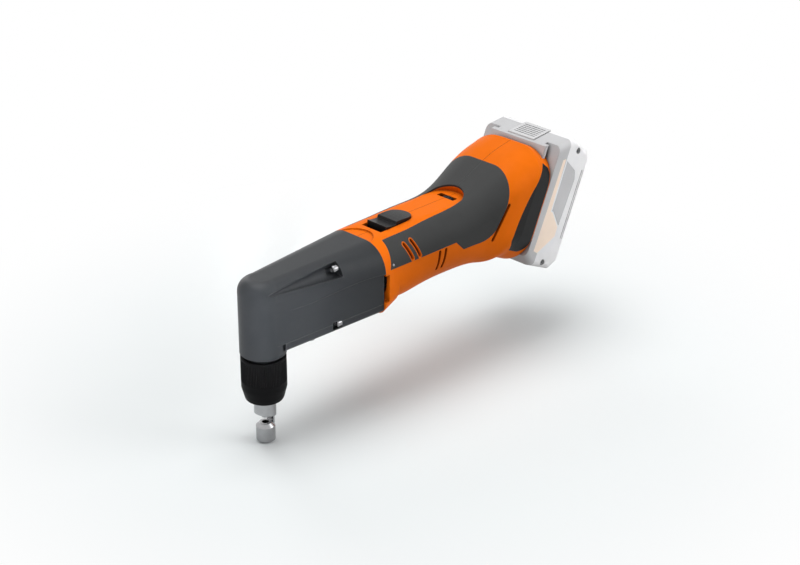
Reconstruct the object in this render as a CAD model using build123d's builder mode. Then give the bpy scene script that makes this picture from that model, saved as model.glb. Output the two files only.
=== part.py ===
from build123d import *
from math import acos, atan2, cos, degrees, pi, radians, sin, tan
import os

# Cordless nibbler, in millimetres. The punch and the die stand on the Z axis, with the tip of the die
# at the origin. X runs back along the motor to the battery pack, and the switch is on top.

# Gaps and fits
slide_gap = 0.3
run_gap = 0.05
seat_gap = 0.1

# Die and punch
tip_radius = 7.0
tip_chamfer = 1.2
tip_cone = 4.5
tip_height = 14.5
throat_height = 6.5
throat_slant = 2.6
die_radius = 8.0
die_top = 62.0
die_bore_floor = 37.0
web_inner = 4.4
web_radius = 6.6
web_width = 7.0
punch_radius = 2.6
punch_tip = 19.0
punch_top = 56.0
stroke = 5.0

# Clamping sleeve
sleeve_radius = 16.4
sleeve_low = 34.0
sleeve_top = 68.5
sleeve_cone_top = 44.5
sleeve_cone_radius = 14.2
sleeve_floor = 44.0
neck_radius = 13.2
neck_low = 46.0
ball_radius = 3.0
ball_height = 54.0
ball_count = 3
snap_height = 66.4
snap_thickness = 1.2
snap_depth = 0.9

# Angle head
nose_radius = 16.8
nose_low = 71.5
nose_top = 128.8
nose_round = 10.0
nose_sink = 0.25
head_rear = 91.0
head_top = 131.5
head_round = 21.0
upper_spread = 8.8
lower_spread = 7.6
crease_points = ((-20.0, 113.0), (-9.0, 109.5), (6.0, 106.4), (39.0, 107.5), (head_rear, 110.6))
lid_front = 6.0
lid_seam_front = 81.0
lid_seam_rear = 86.5
lid_under_front = 74.5
lid_under_rear = 80.0
lid_round = 3.0
channel_front = -9.0
channel_front_radius = 0.5
channel_front_side = 15.3
channel_front_height = 121.4
channel_rear = 54.0
channel_radius = 7.0
channel_side = 22.6
channel_height = 125.5
screw_radius = 1.9
screw_head_radius = 2.9
screw_head_height = 3.2
screw_reach = 9.0
screw_boss = 4.6
upper_screw_side = 18.2
upper_screw_height = 123.6
lower_screw_side = 21.5
lower_screw_height = 82.5
screw_notch = 8.0
lid_screw_place = 30.0
lid_screw_side = 17.0
lid_screw_top = 93.0
lid_screw_sink = 0.4

# Drive train on the motor axis
motor_height = 103.0
chamber_radius = 14.2
chamber_low = 88.0
chamber_top = 119.0
bush_radius = 9.0
bush_low = 66.0
bush_flange = 11.0
bush_flange_height = 2.0
plunger_radius = 5.0
plunger_low = 44.0
yoke_half_width = 12.2
yoke_half_height = 10.5
yoke_half_depth = 4.6
yoke_play = 0.6
pin_radius = 3.5
roller_radius = 5.5
crank_front = 6.0
crank_radius = 8.5
crank_rear = 14.0
shaft_radius = 6.0
bearing_radius = 13.0
bearing_width = 8.0
front_bearing = 16.0
rear_bearing = 38.0
carrier_front = 47.0
carrier_width = 5.0
carrier_radius = 17.2
carrier_room = 18.0
gear_module = 0.9
sun_teeth = 12
planet_teeth = 15
ring_teeth = 42
planet_count = 3
tooth_thinning = 0.15
ring_front = 53.0
ring_rear = 68.0
ring_radius = 21.5
planet_front = 54.0
planet_rear = 64.0
planet_pin_radius = 2.2

# Motor
flange_radius = 21.5
flange_rear = 82.0
motor_shaft_radius = 3.0
motor_bearing_radius = 9.5
motor_bearing_width = 6.0
motor_bearing_front = 72.0
fan_front = 95.0
fan_width = 9.0
fan_radius = 20.0
fan_hub = 7.0
fan_blades = 11
fan_plate = 1.6
fan_blade = 1.4
fan_sweep = 25.0
stator_front = 114.0
stator_length = 30.0
stator_radius = 20.4
stator_bore = 12.2
stator_slots = 6
stator_yoke = 2.5
stator_tooth = 6.0
stator_shoe = 1.6
coil_orbit = 15.9
coil_height = 3.6
coil_wall = 1.6
rotor_radius = 11.6
coil_overhang = 5.0
end_bearing_front = 158.0
end_bearing_radius = 8.0
end_bearing_width = 5.0
shaft_end = 164.0

# Motor shell and foot
wall = 2.6
rib_width = 3.0
front_rib = 117.0
rear_rib = 138.0
board_rib = 176.0
grip_depth = 1.6
grip_front_top = 100.5
grip_front_low = 96.3
grip_low = 112.0
grip_notch = 164.5
grip_step = 8.0
vent_width = 2.4
vent_inner = 22.0
vent_reach = 60.0
outlet_length = 4.0
outlet_low = 88.0
outlet_high = 109.0
foot_tilt = 24.5
foot_x = 252.1
foot_z = 117.9
foot_half_width = 38.0
foot_low = -50.0
foot_high = 39.5
foot_band = 14.0
foot_upper_round = 26.0
foot_lower_round = 26.0
handle_rear = 152.0
handle_top = 133.3
handle_low_front = 77.8
handle_low_rear = 79.6
handle_half_width = 30.5
handle_upper_round = 20.0
handle_lower_front = 22.0
handle_lower_rear = 27.0
handle_steps = 3
flare_steps = 5
flare_power = 2.4
collar_rear = 106.0
collar_low = 77.2
collar_round = 10.0
collar_rear_round = 18.0
collar_sink = 0.6
boss_radius = 3.4
counterbore_radius = 3.3
shell_screw_grip = 14.0
plate_thickness = 9.0
rail_opening = 24.4
rail_depth = 28.4
rail_lip = 2.2
slot_depth = 6.0
slot_low = -41.0

# Top panel, switch and speed dial
panel_height = 133.2
panel_front_half = 17.6
panel_rear_half = 15.0
panel_bend = 126.0
panel_rear = 186.0
panel_end = 197.0
panel_floor = 2.0
scallop_radius = 15.4
scallop_end = 103.0
scallop_floor = 130.6
switch_front = 112.0
switch_length = 31.5
switch_half_width = 9.6
switch_travel = 5.0
switch_edge = 1.4
switch_dish = 0.2
switch_step = 10.0
switch_crest = 2.2
switch_tail = 0.9
dial_place = 186.0
dial_radius = 10.0
dial_width = 4.4
dial_height = 123.2
dial_window = 8.4
dial_shaft_radius = 2.5
dial_notch = 0.8
dial_notches = 24
dial_box_half = 6.0
dial_box_length = 4.5

# Switch module, control board and terminals
switch_module_front = 150.5
switch_module_length = 12.5
switch_module_half_width = 8.0
switch_module_low = 113.0
switch_module_high = 124.5
rod_low = 125.6
rod_height = 2.8
rod_half_width = 4.0
rod_start = 4.0
rod_rear = 173.0
rod_lug = 2.0
rod_lug_low = 118.0
board_front = 170.0
board_length = 46.0
board_half_width = 15.0
board_low = 89.0
board_height = 13.0
wire_half_width = 17.0
wire_low = 103.0
tray_wall = 1.5
tray_depth = 4.0
terminal_half_width = 19.6
terminal_low = -28.0
terminal_high = 8.0
terminal_flange = 4.0
terminal_back = -22.0
blade_spacing = 12.0
blade_count = 3
blade_thickness = 1.0
blade_low = -26.0
blade_high = -6.0
blade_reach = 6.0
blade_root = -16.0
keeper_depth = 2.0

# Battery pack, measured from the foot's face (depth) and along the slide (up)
pack_half_width = 38.0
pack_front = 0.3
pack_depth = 40.5
pack_low = -48.5
pack_nose_up = -42.0
pack_nose_depth = 8.0
pack_heel = 7.5
pack_rear_top = 43.0
pack_shoulder_depth = 36.0
pack_shoulder = 48.5
pack_crown = 54.5
pack_crown_depth = 14.0
pack_split = 11.6
pack_wall = 2.4
pack_round = 5.0
platform_top = 43.0
platform_low = -40.7
platform_reach = 5.5
contact_slot = 1.1
clip_front = 3.2
clip_leaf = 0.7
cell_radius = 9.1
cell_length = 65.0
cell_pitch = 18.6
cell_count = 5
cell_depth = 27.0
first_cell = -36.2
holder_place = 24.0
holder_width = 6.0
pack_board_depth = 11.0
pack_board_thickness = 1.6
pack_board_half = 30.0
pack_board_low = -40.0
pack_board_high = 40.0
button_half_width = 13.0
button_front = -3.0
button_rear = 14.0
button_thickness = 5.0
button_proud = 0.8
button_travel = 3.0
ear_drop = 3.4
ear_reach = 2.5
ear_front = 3.5
latch_half_width = 9.0
latch_low = 31.0
latch_front = -2.9
latch_rear = 1.0
latch_nose = 5.2
latch_nose_height = 3.0
spring_radius = 2.4
spring_bore = 1.7
spring_low = 24.2
spring_depth = -0.9
stripe_depth = 1.0
stripe_points = (
    (7.6, 36.8), (10.8, 38.2), (12.3, -3.7), (15.1, -4.3), (26.3, -14.5), (26.6, -22.0), (11.4, -37.4),
    (6.5, -36.3), (7.2, -4.4),
)
label_recess = 0.4
label_points = ((13.0, 36.8), (25.5, 31.2), (28.5, 24.5), (26.9, -13.4), (15.7, -3.4), (13.6, -3.0))
pack_screw_places = ((22.5, 46.6), (21.6, -43.8))
pack_screw_pocket = 2.5
pack_screw_depth = 1.6
side_grooves = (34.2, 36.2)
side_groove_low = -23.0
side_groove_high = 33.0
side_groove_width = 0.7
side_groove_depth = 0.5
button_grooves = 6
button_groove_pitch = 2.2
button_groove_width = 0.9
button_groove_inset = 2.5


def across(x):
    """Plane square to the motor axis: sketch x is Y and sketch y is the height over the motor axis."""
    return Plane(origin=(x, 0, motor_height), x_dir=(0, 1, 0), z_dir=(1, 0, 0))


def tilted(x, height, tilt):
    """Plane across the motor shell that leans back by an angle."""
    angle = radians(tilt)
    return Plane(origin=(x, 0, height), x_dir=(0, 1, 0), z_dir=(cos(angle), 0, -sin(angle)))


def along_pack(depth):
    """Plane parallel to the foot's face: sketch x is Y and sketch y runs up the slide of the pack."""
    angle = radians(foot_tilt)
    return tilted(foot_x + depth * cos(angle), foot_z - depth * sin(angle), foot_tilt)


def pack_side(side=0.0):
    """Plane of the pack's side view: sketch x is the depth and sketch y runs up the slide."""
    angle = radians(foot_tilt)
    return Plane(origin=(foot_x, side, foot_z), x_dir=(cos(angle), 0, -sin(angle)), z_dir=(0, -1, 0))


def disc(plane, radius, width, at=(0, 0), mode=Mode.ADD):
    """Round rod or hole standing on a plane."""
    with BuildSketch(plane) as face:
        with Locations(at):
            Circle(radius)
    extrude(face.sketch, amount=width, mode=mode)


def ring(plane, inner, outer, width):
    """Plain ring standing on a plane."""
    with BuildSketch(plane) as face:
        Circle(outer)
        Circle(inner, mode=Mode.SUBTRACT)
    extrude(face.sketch, amount=width)


def plate(plane, x_span, y_span, thickness, mode=Mode.ADD):
    """Rectangular block on a plane, given by its two spans in the sketch."""
    with BuildSketch(plane) as face:
        with Locations(((x_span[0] + x_span[1]) / 2, (y_span[0] + y_span[1]) / 2)):
            Rectangle(x_span[1] - x_span[0], y_span[1] - y_span[0])
    extrude(face.sketch, amount=thickness, mode=mode)


def bore(x_from, x_to, radius, side=0.0, height=None, mode=Mode.SUBTRACT):
    """Round hole or rod along X from one station to another."""
    lift = 0.0 if height is None else height - motor_height
    disc(across(x_from), radius, x_to - x_from, at=(side, lift), mode=mode)


def post(low, high, radius, mode=Mode.ADD):
    """Round post or hole on the die axis."""
    disc(Plane.XY.offset(low), radius, high - low, mode=mode)


def slab(plane, points, half_span, mode=Mode.ADD):
    """Side-view outline of straight runs drawn to both sides of its plane."""
    with BuildSketch(plane) as face:
        with BuildLine() as outline:
            Polyline(*points, close=True)
        make_face(outline.edges())
    extrude(face.sketch, amount=half_span, both=True, mode=mode)


def spread_at(x, spread):
    """Half width of the head at a station, for sides tangent to the round nose."""
    angle = radians(spread)
    return nose_radius * cos(angle) + (x + nose_radius * sin(angle)) * tan(angle)


def head_block(low, high, spread, mode=Mode.ADD):
    """Block with the head's plan: a round nose whose tangents spread towards the rear."""
    angle = radians(spread)
    touch_x = -nose_radius * sin(angle)
    touch_y = nose_radius * cos(angle)
    rear_y = spread_at(head_rear, spread)
    with BuildSketch(Plane.XY.offset(low)) as face:
        with BuildLine() as outline:
            ThreePointArc((touch_x, touch_y), (-nose_radius, 0), (touch_x, -touch_y))
            Polyline((touch_x, -touch_y), (head_rear, -rear_y), (head_rear, rear_y), (touch_x, touch_y))
        make_face(outline.edges())
    extrude(face.sketch, amount=high - low, mode=mode)


def gear_points(teeth, addendum, dedendum, thickness):
    """Outline of a spur gear: three points on each involute flank, from the root to the tip."""
    pitch = gear_module * teeth / 2
    pressure = radians(20)
    base = pitch * cos(pressure)
    flank = (pitch - dedendum, pitch, pitch + addendum)
    points = []
    for tooth in range(teeth):
        middle = 2 * pi * tooth / teeth
        for side, radii in ((-1, flank), (1, flank[::-1])):
            for radius in radii:
                turn = acos(base / max(radius, base))
                half = thickness / (2 * pitch) + tan(pressure) - pressure - tan(turn) + turn
                points.append((radius * cos(middle + side * half), radius * sin(middle + side * half)))
    return points


def gear(plane, width, teeth, addendum, dedendum, thickness, mode=Mode.ADD):
    """Spur gear, or a cutter for an internal gear, with one tooth on the sketch's x direction."""
    with BuildSketch(plane) as face:
        with BuildLine() as outline:
            Polyline(*gear_points(teeth, addendum, dedendum, thickness), close=True)
        make_face(outline.edges())
    extrude(face.sketch, amount=width, mode=mode)


def ease(share):
    """Smooth step from 0 to 1."""
    return share * share * (3 - 2 * share)


def between(start, end, share):
    """Value a share of the way from start to end."""
    return start + (end - start) * share


def under_at(x):
    """Height of the lid's underside at a station."""
    return between(lid_under_front, lid_under_rear, (x - lid_front) / (head_rear - lid_front))


def seam_at(x):
    """Height of the seam between the lid and the gear housing at a station."""
    return between(lid_seam_front, lid_seam_rear, (x - lid_front) / (head_rear - lid_front))


def cross_section(plane, half_width, half_height, upper, lower):
    """Section with two upper and two lower corner radii, centred on its plane."""
    with BuildSketch(plane) as face:
        Rectangle(2 * half_width, 2 * half_height)
        if upper > 0:
            fillet(face.vertices().sort_by(Axis.Y)[-2:], radius=upper)
        if lower > 0:
            fillet(face.vertices().sort_by(Axis.Y)[:2], radius=lower)
    return face.sketch


def shell_stations():
    """Sections along the shell: x, height, tilt, half width, half height, upper and lower corner radius."""
    stations = []
    for step in range(handle_steps + 1):
        share = step / handle_steps
        low = between(handle_low_front, handle_low_rear, share)
        high = between(head_top, handle_top, share)
        stations.append((
            between(head_rear, handle_rear, share),
            (high + low) / 2,
            0.0,
            handle_half_width,
            (high - low) / 2,
            handle_upper_round,
            between(handle_lower_front, handle_lower_rear, share),
        ))
    x, height, _, half_width, half_height, upper, lower = stations[-1]
    angle = radians(foot_tilt)
    middle = (foot_low + foot_high) / 2
    foot_height = foot_z + foot_band * sin(angle) + middle * cos(angle)
    foot_place = foot_x - foot_band * cos(angle) + middle * sin(angle)
    for step in range(1, flare_steps + 1):
        share = step / flare_steps
        smooth = ease(share) ** flare_power
        stations.append((
            between(x, foot_place, share),
            between(height, foot_height, smooth),
            foot_tilt * smooth,
            between(half_width, foot_half_width, smooth),
            between(half_height, (foot_high - foot_low) / 2, smooth),
            between(upper, foot_upper_round, smooth),
            between(lower, foot_lower_round, smooth),
        ))
    return stations


def shell_form(inset, band, mode=Mode.ADD):
    """Shell's outer form, drawn in by an inset, with a straight band of the foot behind the flare."""
    faces = []
    for x, height, tilt, half_width, half_height, upper, lower in shell_stations():
        faces.append(cross_section(
            tilted(x, height, tilt), half_width - inset, half_height - inset, upper - inset, lower - inset,
        ))
    loft(faces, mode=mode)
    extrude(faces[-1], amount=band, mode=mode)


def collar():
    """Collar round the front of the shell, squarer below than the handle and flush with the head."""
    half = (head_top - collar_sink - collar_low) / 2
    middle = (head_top - collar_sink + collar_low) / 2
    front_half = spread_at(head_rear, upper_spread)
    rear_half = handle_half_width - collar_sink
    loft(
        (
            cross_section(tilted(head_rear, middle, 0), front_half, half, head_round, collar_round),
            cross_section(
                tilted(collar_rear, middle, 0), rear_half, half - collar_sink, handle_upper_round,
                collar_rear_round,
            ),
        ),
        ruled=True,
    )


def save(builder, name):
    """Label a finished piece and write it as its own file."""
    builder.part.label = name
    export_step(builder.part, f"parts/{name}.step")


os.makedirs("parts", exist_ok=True)

# Values that several pieces share
throat_top = tip_height + throat_height
ball_orbit = neck_radius - ball_radius
orbit = gear_module * (sun_teeth + planet_teeth) / 2
tooth_thickness = pi * gear_module / 2 - tooth_thinning
tooth_space = pi * gear_module / 2 + tooth_thinning
tooth_addendum = 0.85 * gear_module
tooth_dedendum = 1.2 * gear_module
pin_height = motor_height + stroke / 2
carrier_rear = carrier_front + carrier_width
lid_screw_low = under_at(lid_screw_place) + lid_screw_sink
sides = (-1, 1)
reach = 400.0

# Die: a tube with the throat, the support web behind it and the cutting button at the tip
with BuildPart() as die:
    with BuildSketch(Plane.XZ):
        with BuildLine():
            Polyline(
                (0, 0),
                (tip_radius - tip_chamfer, 0),
                (tip_radius, tip_chamfer),
                (tip_radius, tip_height - tip_radius + tip_cone),
                (tip_cone, tip_height),
                (0, tip_height),
                close=True,
            )
        make_face()
    revolve(axis=Axis.Z)
    post(throat_top, die_top, die_radius)
    with BuildSketch(Plane.XY.offset(tip_chamfer)):
        Circle(web_radius)
        with Locations((web_inner + web_radius, 0)):
            Rectangle(2 * web_radius, web_width, mode=Mode.INTERSECT)
    extrude(amount=throat_top - tip_chamfer)
    slab(
        Plane.XZ,
        (
            (-die_radius - 1, throat_top - 1),
            (web_inner, throat_top - 1),
            (web_inner, throat_top),
            (-die_radius - 1, throat_top + throat_slant),
        ),
        die_radius + 1,
        mode=Mode.SUBTRACT,
    )
    post(-1, die_top + 1, punch_radius + run_gap, mode=Mode.SUBTRACT)
    post(die_bore_floor, die_top + 1, plunger_radius + slide_gap, mode=Mode.SUBTRACT)
    with BuildSketch(Plane.XZ):
        with Locations((ball_orbit, ball_height)):
            Circle(ball_radius + seat_gap)
    revolve(axis=Axis.Z, mode=Mode.SUBTRACT)
save(die, "die")

# Punch: a round bar held in the plunger
with BuildPart() as punch:
    post(punch_tip, punch_top, punch_radius)
save(punch, "punch")

# Plunger: a round bar with the yoke that the eccentric roller drives
with BuildPart() as plunger:
    post(plunger_low, pin_height - roller_radius - yoke_play, plunger_radius)
    with BuildSketch(across(-yoke_half_depth)):
        with Locations((0, stroke / 2)):
            RectangleRounded(2 * yoke_half_width, 2 * yoke_half_height, 4.0)
    extrude(amount=2 * yoke_half_depth)
    with BuildSketch(across(-yoke_half_depth)):
        with Locations((0, stroke / 2)):
            SlotOverall(
                2 * (roller_radius + stroke / 2 + yoke_play + 2.0), 2 * (roller_radius + yoke_play)
            )
    extrude(amount=2 * yoke_half_depth, mode=Mode.SUBTRACT)
    post(plunger_low - 1, punch_top, punch_radius, mode=Mode.SUBTRACT)
save(plunger, "plunger")

# Guide bush of the plunger, with a flange on the floor of the yoke's chamber
with BuildPart() as guide_bush:
    post(bush_low, chamber_low, bush_radius)
    post(chamber_low, chamber_low + bush_flange_height, bush_flange)
    post(bush_low - 1, chamber_low + bush_flange_height + 1, plunger_radius + run_gap, mode=Mode.SUBTRACT)
save(guide_bush, "guide_bush")

# Clamping sleeve: a knurled barrel with a cone at its lower end
with BuildPart() as clamp_sleeve:
    with BuildSketch(Plane.XZ):
        with BuildLine():
            Polyline(
                (die_radius + slide_gap, sleeve_low),
                (sleeve_cone_radius - 1, sleeve_low),
                (sleeve_cone_radius, sleeve_low + 1),
                (sleeve_radius, sleeve_cone_top),
                (sleeve_radius, sleeve_top - 1),
                (sleeve_radius - 1, sleeve_top),
                (neck_radius + slide_gap, sleeve_top),
                (neck_radius + slide_gap, sleeve_floor),
                (die_radius + slide_gap, sleeve_floor),
                close=True,
            )
        make_face()
    revolve(axis=Axis.Z)
    post(
        snap_height - snap_thickness / 2 - slide_gap,
        snap_height + snap_thickness / 2 + slide_gap,
        neck_radius + snap_depth + slide_gap,
        mode=Mode.SUBTRACT,
    )
save(clamp_sleeve, "clamp_sleeve")

# Snap ring that keeps the sleeve on the neck
with BuildPart() as sleeve_snap_ring:
    ring(
        Plane.XY.offset(snap_height - snap_thickness / 2),
        neck_radius - snap_depth,
        neck_radius + snap_depth,
        snap_thickness,
    )
save(sleeve_snap_ring, "sleeve_snap_ring")

# Balls that hold the die in the neck
with BuildPart() as locking_balls:
    with Locations(Plane.XY.offset(ball_height)):
        with PolarLocations(ball_orbit, ball_count, start_angle=90):
            Sphere(ball_radius)
save(locking_balls, "locking_balls")


def head_screw_room(aside, height):
    """Hole of a long head screw, with the notch for its head."""
    bore(channel_rear, head_rear, screw_radius, aside, height)
    bore(channel_rear - screw_notch, channel_rear, screw_head_radius + 2 * slide_gap, aside, height)


# Gear housing: the cast angle head with its nose, neck, side channels and bores
with BuildPart() as gear_housing:
    post(lid_seam_front, nose_top, nose_radius)
    fillet(gear_housing.edges().sort_by(Axis.Z)[-1], radius=nose_round)
    touch = radians(upper_spread)
    loft(
        (
            cross_section(
                tilted(-nose_radius * sin(touch), (nose_top + lid_seam_front) / 2, 0),
                nose_radius * cos(touch) - nose_sink, (nose_top - lid_seam_front) / 2 - nose_sink, nose_round, 0,
            ),
            cross_section(
                tilted(head_rear, (head_top + lid_seam_front) / 2, 0),
                spread_at(head_rear, upper_spread), (head_top - lid_seam_front) / 2, head_round, 0,
            ),
        ),
        ruled=True,
    )
    with BuildSketch(Plane.XZ):
        with BuildLine():
            crease = Spline(*crease_points)
            Polyline(crease @ 1, (head_rear, reach), (crease_points[0][0], reach), crease @ 0)
        make_face()
    extrude(amount=reach, both=True, mode=Mode.INTERSECT)
    head_block(lid_seam_front, crease_points[0][1] + 1, lower_spread)
    slab(
        Plane.XZ,
        (
            (lid_front, 0), (lid_front, lid_seam_front), (head_rear, lid_seam_rear), (head_rear, 0),
        ),
        reach,
        mode=Mode.SUBTRACT,
    )
    post(nose_low, chamber_low, nose_radius)
    post(neck_low, nose_low, neck_radius)
    post(chamber_low, chamber_top, chamber_radius, mode=Mode.SUBTRACT)
    post(bush_low, chamber_low, bush_radius, mode=Mode.SUBTRACT)
    post(neck_low, bush_low, die_radius + slide_gap, mode=Mode.SUBTRACT)
    bore(0, carrier_front, bearing_radius)
    bore(carrier_front - 1, ring_front, carrier_room)
    bore(ring_front, ring_rear, ring_radius)
    bore(ring_rear, head_rear, flange_radius)
    for side in sides:
        with BuildSketch(across(channel_front)) as channel_tip:
            with Locations((side * channel_front_side, channel_front_height - motor_height)):
                Circle(channel_front_radius)
        with BuildSketch(across(channel_rear)) as channel_end:
            with Locations((side * channel_side, channel_height - motor_height)):
                Circle(channel_radius)
        loft((channel_tip.sketch, channel_end.sketch), mode=Mode.SUBTRACT)
        head_screw_room(side * upper_screw_side, upper_screw_height)
        head_screw_room(side * lower_screw_side, lower_screw_height)
        disc(
            Plane.XY.offset(lid_seam_front), screw_radius, lid_screw_top - lid_seam_front,
            at=(lid_screw_place, side * lid_screw_side), mode=Mode.SUBTRACT,
        )
    with BuildSketch(Plane.XY.offset(snap_height - snap_thickness / 2)):
        Circle(neck_radius + 1)
        Circle(neck_radius - snap_depth, mode=Mode.SUBTRACT)
    extrude(amount=snap_thickness, mode=Mode.SUBTRACT)
    with Locations(Plane.XY.offset(ball_height)):
        with PolarLocations(ball_orbit, ball_count, start_angle=90):
            Cylinder(ball_radius + seat_gap, 4 * ball_radius, rotation=(0, 90, 0), mode=Mode.SUBTRACT)
save(gear_housing, "gear_housing")

# Lid along the underside of the head
with BuildPart() as gear_case_lid:
    head_block(lid_under_front, lid_seam_rear, lower_spread)
    slab(
        Plane.XZ,
        (
            (lid_front, lid_under_front), (head_rear, lid_under_rear),
            (head_rear, lid_seam_rear), (lid_front, lid_seam_front),
        ),
        reach,
        mode=Mode.INTERSECT,
    )
    underside = gear_case_lid.faces().filter_by(lambda face: face.normal_at().Z < -0.9)[0]
    fillet(underside.edges().filter_by(Axis.Y, reverse=True), radius=lid_round)
    post(0, reach, nose_radius, mode=Mode.SUBTRACT)
    bore(ring_front, ring_rear, ring_radius)
    bore(ring_rear, head_rear, flange_radius)
    for side in sides:
        head_screw_room(side * lower_screw_side, lower_screw_height)
        disc(
            Plane.XY, screw_radius, reach, at=(lid_screw_place, side * lid_screw_side), mode=Mode.SUBTRACT,
        )
        disc(
            Plane.XY, screw_head_radius, lid_screw_low + screw_head_height,
            at=(lid_screw_place, side * lid_screw_side), mode=Mode.SUBTRACT,
        )
save(gear_case_lid, "gear_case_lid")

# Screws that hold the lid from below
with BuildPart() as lid_screws:
    for side in sides:
        place = (lid_screw_place, side * lid_screw_side)
        disc(Plane.XY.offset(lid_screw_low), screw_head_radius, screw_head_height, at=place)
        disc(Plane.XY.offset(lid_screw_low), screw_radius, lid_screw_top - lid_screw_low, at=place)
save(lid_screws, "lid_screws")

# Long screws that hold the head on the motor shell
with BuildPart() as head_screws:
    for side in sides:
        for aside, height in (
            (upper_screw_side, upper_screw_height),
            (lower_screw_side, lower_screw_height),
        ):
            bore(
                channel_rear - screw_head_height, channel_rear, screw_head_radius,
                side * aside, height, mode=Mode.ADD,
            )
            bore(channel_rear, head_rear + screw_reach, screw_radius, side * aside, height, mode=Mode.ADD)
save(head_screws, "head_screws")

# Eccentric shaft with the crank pin at its front end
with BuildPart() as eccentric_shaft:
    bore(crank_front, crank_rear, crank_radius, mode=Mode.ADD)
    bore(crank_rear, carrier_rear, shaft_radius, mode=Mode.ADD)
    bore(-yoke_half_depth, crank_front, pin_radius, height=pin_height, mode=Mode.ADD)
save(eccentric_shaft, "eccentric_shaft")

# Roller on the crank pin
with BuildPart() as eccentric_roller:
    bore(-yoke_half_depth, yoke_half_depth, roller_radius, height=pin_height, mode=Mode.ADD)
    bore(-yoke_half_depth, yoke_half_depth, pin_radius, height=pin_height)
save(eccentric_roller, "eccentric_roller")


def ball_bearing(x, inner, outer, width):
    """Bearing with two rings and shields set in from its faces."""
    land = (outer - inner) * 0.28
    ring(across(x), inner, inner + land, width)
    ring(across(x), outer - land, outer, width)
    ring(across(x + 0.6), inner + land, outer - land, width - 1.2)


with BuildPart() as front_shaft_bearing:
    ball_bearing(front_bearing, shaft_radius + run_gap, bearing_radius, bearing_width)
save(front_shaft_bearing, "front_shaft_bearing")

with BuildPart() as rear_shaft_bearing:
    ball_bearing(rear_bearing, shaft_radius + run_gap, bearing_radius, bearing_width)
save(rear_shaft_bearing, "rear_shaft_bearing")

with BuildPart() as bearing_spacer:
    ring(
        across(front_bearing + bearing_width), bearing_radius - 2, bearing_radius,
        rear_bearing - front_bearing - bearing_width,
    )
save(bearing_spacer, "bearing_spacer")

# Planetary stage: carrier, pins, planets, ring gear and sun pinion
with BuildPart() as planet_carrier:
    ring(across(carrier_front), shaft_radius, carrier_radius, carrier_width)
    with BuildSketch(across(carrier_front)):
        with PolarLocations(orbit, planet_count):
            Circle(planet_pin_radius)
    extrude(amount=carrier_width, mode=Mode.SUBTRACT)
save(planet_carrier, "planet_carrier")

with BuildPart() as planet_pins:
    with BuildSketch(across(carrier_front)):
        with PolarLocations(orbit, planet_count):
            Circle(planet_pin_radius)
    extrude(amount=planet_rear + 1 - carrier_front)
save(planet_pins, "planet_pins")

for index in range(planet_count):
    turn = 2 * pi * index / planet_count
    place = Plane(
        origin=(planet_front, orbit * cos(turn), motor_height + orbit * sin(turn)),
        x_dir=(0, cos(turn), sin(turn)),
        z_dir=(1, 0, 0),
    )
    with BuildPart() as planet:
        gear(place, planet_rear - planet_front, planet_teeth, tooth_addendum, tooth_dedendum, tooth_thickness)
        disc(place, planet_pin_radius + run_gap, planet_rear - planet_front, mode=Mode.SUBTRACT)
    save(planet, f"planet_gear_{index + 1}")

with BuildPart() as ring_gear:
    disc(across(ring_front), ring_radius, ring_rear - ring_front)
    gear(
        across(ring_front), ring_rear - ring_front, ring_teeth, tooth_dedendum, tooth_addendum, tooth_space,
        mode=Mode.SUBTRACT,
    )
save(ring_gear, "ring_gear")

with BuildPart() as sun_pinion:
    gear(across(planet_front), planet_rear - planet_front, sun_teeth, tooth_addendum, tooth_dedendum,
         tooth_thickness)
    disc(across(planet_front), motor_shaft_radius, planet_rear - planet_front, mode=Mode.SUBTRACT)
save(sun_pinion, "sun_pinion")

# Bearing flange between the gear case and the motor
with BuildPart() as motor_flange:
    bore(ring_rear, flange_rear, flange_radius, mode=Mode.ADD)
    bore(ring_rear, motor_bearing_front, motor_shaft_radius + 2)
    bore(motor_bearing_front, flange_rear, motor_bearing_radius)
save(motor_flange, "motor_flange")

with BuildPart() as motor_front_bearing:
    ball_bearing(motor_bearing_front, motor_shaft_radius + run_gap, motor_bearing_radius, motor_bearing_width)
save(motor_front_bearing, "motor_front_bearing")

with BuildPart() as motor_end_bearing:
    ball_bearing(end_bearing_front, motor_shaft_radius + run_gap, end_bearing_radius, end_bearing_width)
save(motor_end_bearing, "motor_end_bearing")

# Rotor: shaft, core with the magnets, and fan
with BuildPart() as rotor_shaft:
    bore(planet_front, shaft_end, motor_shaft_radius, mode=Mode.ADD)
save(rotor_shaft, "rotor_shaft")

with BuildPart() as rotor_core:
    ring(across(stator_front), motor_shaft_radius, rotor_radius, stator_length)
save(rotor_core, "rotor_core")

with BuildPart() as fan:
    ring(across(fan_front), motor_shaft_radius, fan_hub, fan_width)
    ring(across(fan_front + fan_width - fan_plate), fan_hub - 1, fan_radius, fan_plate)
    with BuildSketch(across(fan_front)):
        with PolarLocations((fan_radius + fan_hub) / 2 - 0.5, fan_blades):
            Rectangle(fan_radius - fan_hub + 0.5, fan_blade, rotation=fan_sweep)
        Circle(fan_radius, mode=Mode.INTERSECT)
        Circle(motor_shaft_radius + 1, mode=Mode.SUBTRACT)
    extrude(amount=fan_width - fan_plate / 2)
save(fan, "fan")

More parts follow.
